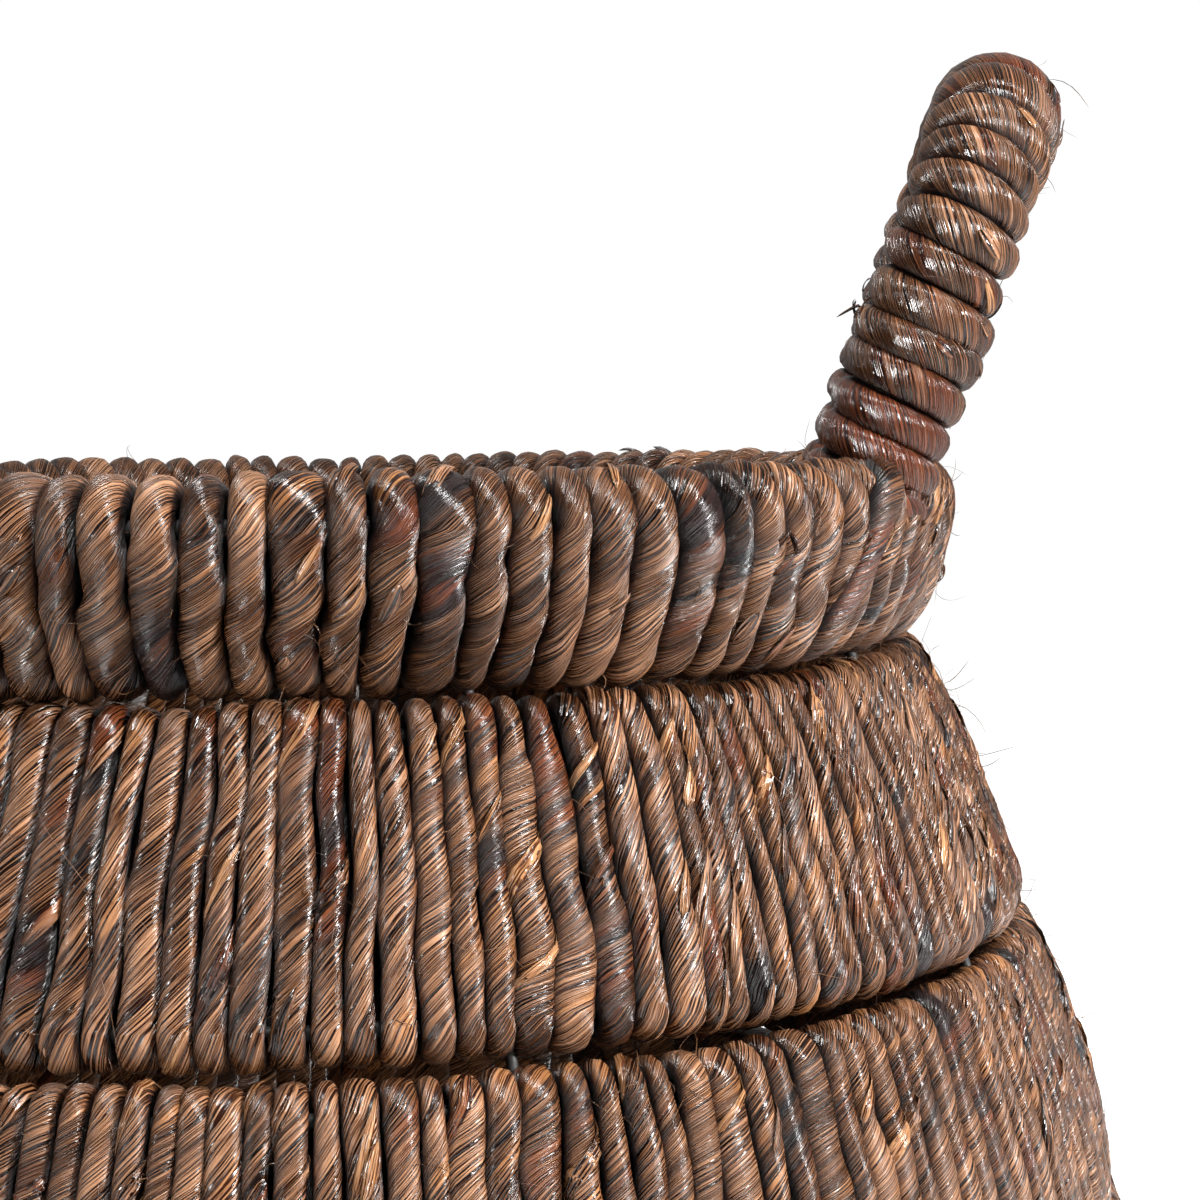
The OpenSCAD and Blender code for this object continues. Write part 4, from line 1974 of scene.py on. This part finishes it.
@dataclass
class Studio:
    """Pale floor, soft lights and the camera."""

    rim_radius: float = 0.2
    rim_top: float = 0.484
    distance: float = 4.0
    eye_rise: float = 0.046
    eye_turn: float = 10.8
    pan: float = 4.42
    tilt: float = 3.95
    roll: float = -1.05
    lens: float = 75.73
    front_glow: float = 0.06
    back_glow: float = 0.4
    backdrop: float = 1.02
    floor_half: float = 40.0
    floor_colour: tuple[float, ...] = (0.88, 0.88, 0.88, 1)
    floor_glow: float = 0.85
    aim: tuple[float, float, float] = (0, 0, 0.4)
    lamps: tuple[Lamp, ...] = (
        Lamp("Overhead", (0.3, -0.6, 1.9), 0.35, 36.0),
        Lamp("Right window", (1.5, -0.75, 1.0), 0.4, 74.0),
        Lamp("Left window", (-1.5, -0.8, 1.05), 0.22, 15.0),
    )

    def camera(self) -> None:
        """Places the camera in front, a little to the right, looking slightly down."""
        turn = math.radians(self.eye_turn)
        reach = self.distance * self.rim_radius
        height = self.rim_top + self.eye_rise * self.rim_radius
        eye = Vector((reach * math.sin(turn), -reach * math.cos(turn), height))
        data = bpy.data.cameras.new("Camera")
        data.lens = self.lens
        data.sensor_width = 36.0
        camera = bpy.data.objects.new("Camera", data)
        level = Matrix.Rotation(math.radians(90 - self.tilt), 4, "X")
        upright = Matrix.Rotation(math.radians(self.pan), 4, "Z") @ level
        rolled = upright @ Matrix.Rotation(math.radians(self.roll), 4, "Z")
        camera.matrix_world = Matrix.Translation(eye) @ rolled
        bpy.context.scene.collection.objects.link(camera)
        bpy.context.scene.camera = camera

    def floor(self) -> None:
        """Lays a pale floor that glows a little for the camera, so that it meets the white."""
        half = self.floor_half
        mesh = bpy.data.meshes.new("Floor")
        corners = [(-half, -half, 0), (half, -half, 0), (half, half, 0), (-half, half, 0)]
        mesh.from_pydata(corners, [], [(0, 1, 2, 3)])
        floor = bpy.data.objects.new("Floor", mesh)
        bpy.context.scene.collection.objects.link(floor)
        material, bench = blank_material("Pale floor")
        seen = bench.add("ShaderNodeLightPath").outputs["Is Camera Ray"]
        glow = bench.blend(seen, (0, 0, 0, 1), (1, 1, 1, 1))
        finish_material(bench, {
            "Base Color": self.floor_colour,
            "Roughness": 0.9,
            "Emission Color": glow,
            "Emission Strength": self.floor_glow,
        })
        mesh.materials.append(material)

    def light(self, lamp: Lamp) -> None:
        """Hangs a soft square light that faces the basket.

        Args:
            lamp: The light to hang.
        """
        data = bpy.data.lights.new(lamp.name, "AREA")
        data.shape = "SQUARE"
        data.size = lamp.size
        data.energy = lamp.power
        hung = bpy.data.objects.new(lamp.name, data)
        hung.location = lamp.place
        way = Vector(self.aim) - Vector(lamp.place)
        hung.rotation_euler = way.to_track_quat("-Z", "Y").to_euler()
        bpy.context.scene.collection.objects.link(hung)

    def world(self) -> None:
        """Surrounds everything with a white room whose back wall shines most."""
        world = bpy.data.worlds.new("Studio")
        world.use_nodes = True
        bench = NodeBench(world.node_tree)
        seen = bench.add("ShaderNodeLightPath").outputs["Is Camera Ray"]
        way = bench.add("ShaderNodeTexCoord").outputs["Generated"]
        back = bench.add("ShaderNodeSeparateXYZ", {0: way}).outputs[1]
        glow = bench.spread(back, -0.5, 0.9, self.front_glow, self.back_glow)
        seen_glow = bench.math("MULTIPLY", seen, self.backdrop)
        room = world.node_tree.nodes["Background"]
        room.inputs["Color"].default_value = (1, 1, 1, 1)
        bench.feed(room.inputs["Strength"], bench.math("MAXIMUM", glow, seen_glow))
        bpy.context.scene.world = world

    def build(self) -> None:
        """Sets the whole studio."""
        self.camera()
        self.floor()
        self.world()
        for lamp in self.lamps:
            self.light(lamp)
        bpy.context.scene.view_settings.view_transform = "Standard"


def main() -> None:
    """Builds the basket, piece by piece."""
    logging.basicConfig(level=logging.INFO, format="%(name)s: %(message)s")
    Studio().build()
    groups = FibreGroups()
    sweep = RopeSweep()
    band_finish = RopeFinish("Band rope", groups)
    rim_finish = RopeFinish(
        "Rim rope",
        groups,
        fibre_width=0.42 * MM,
        strip_width=4.5 * MM,
        ink_share=0.04,
        rust_share=0.2,
        leaf_share=0.2,
    )
    handle_finish = RopeFinish(
        "Handle rope",
        groups,
        strip_width=4.5 * MM,
        lightness=0.27,
        contrast=1.05,
        ink_share=-0.4,
        rust_share=0.5,
        leaf_share=0.0,
        matt=0.45,
    )
    base_finish = RopeFinish("Base rope", groups)
    band_rope = Rope(8.3 * MM, 7.4 * MM, lay_angle=46.0, lay_spread=13.0)
    rim_winding = Winding(
        Rope(11.3 * MM, 11.2 * MM, uneven=0.1),
        face=20,
        cap=14,
        lean=0.06,
        wave=0.55 * MM,
        shingle=0.25,
        pinch=0.05,
    )
    rim = WoundBand("rim", "rim_rope", rim_winding, seed=11, sides=16).build(sweep, rim_finish)
    bands = []
    for number, rings in enumerate((24, 23, 19, 19, 19), start=1):
        winding = Winding(band_rope, face=rings, lean=0.05)
        band = WoundBand(f"band_{number}", "band_rope", winding, seed=20 + number)
        bands.append(band.build(sweep, band_finish))
    handles = [Handle(side, 40 + side.value).build(sweep, handle_finish) for side in Side]
    Base().build(sweep, base_finish)
    lots = (
        ("rim", rim_finish, [rim], Frays(130, 420, 71, Peel(4.0 * MM, 5))),
        ("band", band_finish, bands, Frays(800, 4600, 73, Peel(4.2 * MM, 9))),
        ("handle", handle_finish, handles, Frays(60, 160, 75, Peel(4.0 * MM, 4))),
    )
    for label, finish, skins, frays in lots:
        frays.build(sweep, finish, skins, label, f"{label}_rope")
    steel = SteelFinish().material()
    cane = CaneFinish().material()
    for node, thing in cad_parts.items():
        if node.endswith(("hoop", "ribs", "links", "bars", "pins")):
            thing.material_slots[0].material = steel
        elif node.endswith("cane"):
            thing.material_slots[0].material = cane


if __name__ == "__main__":
    main()
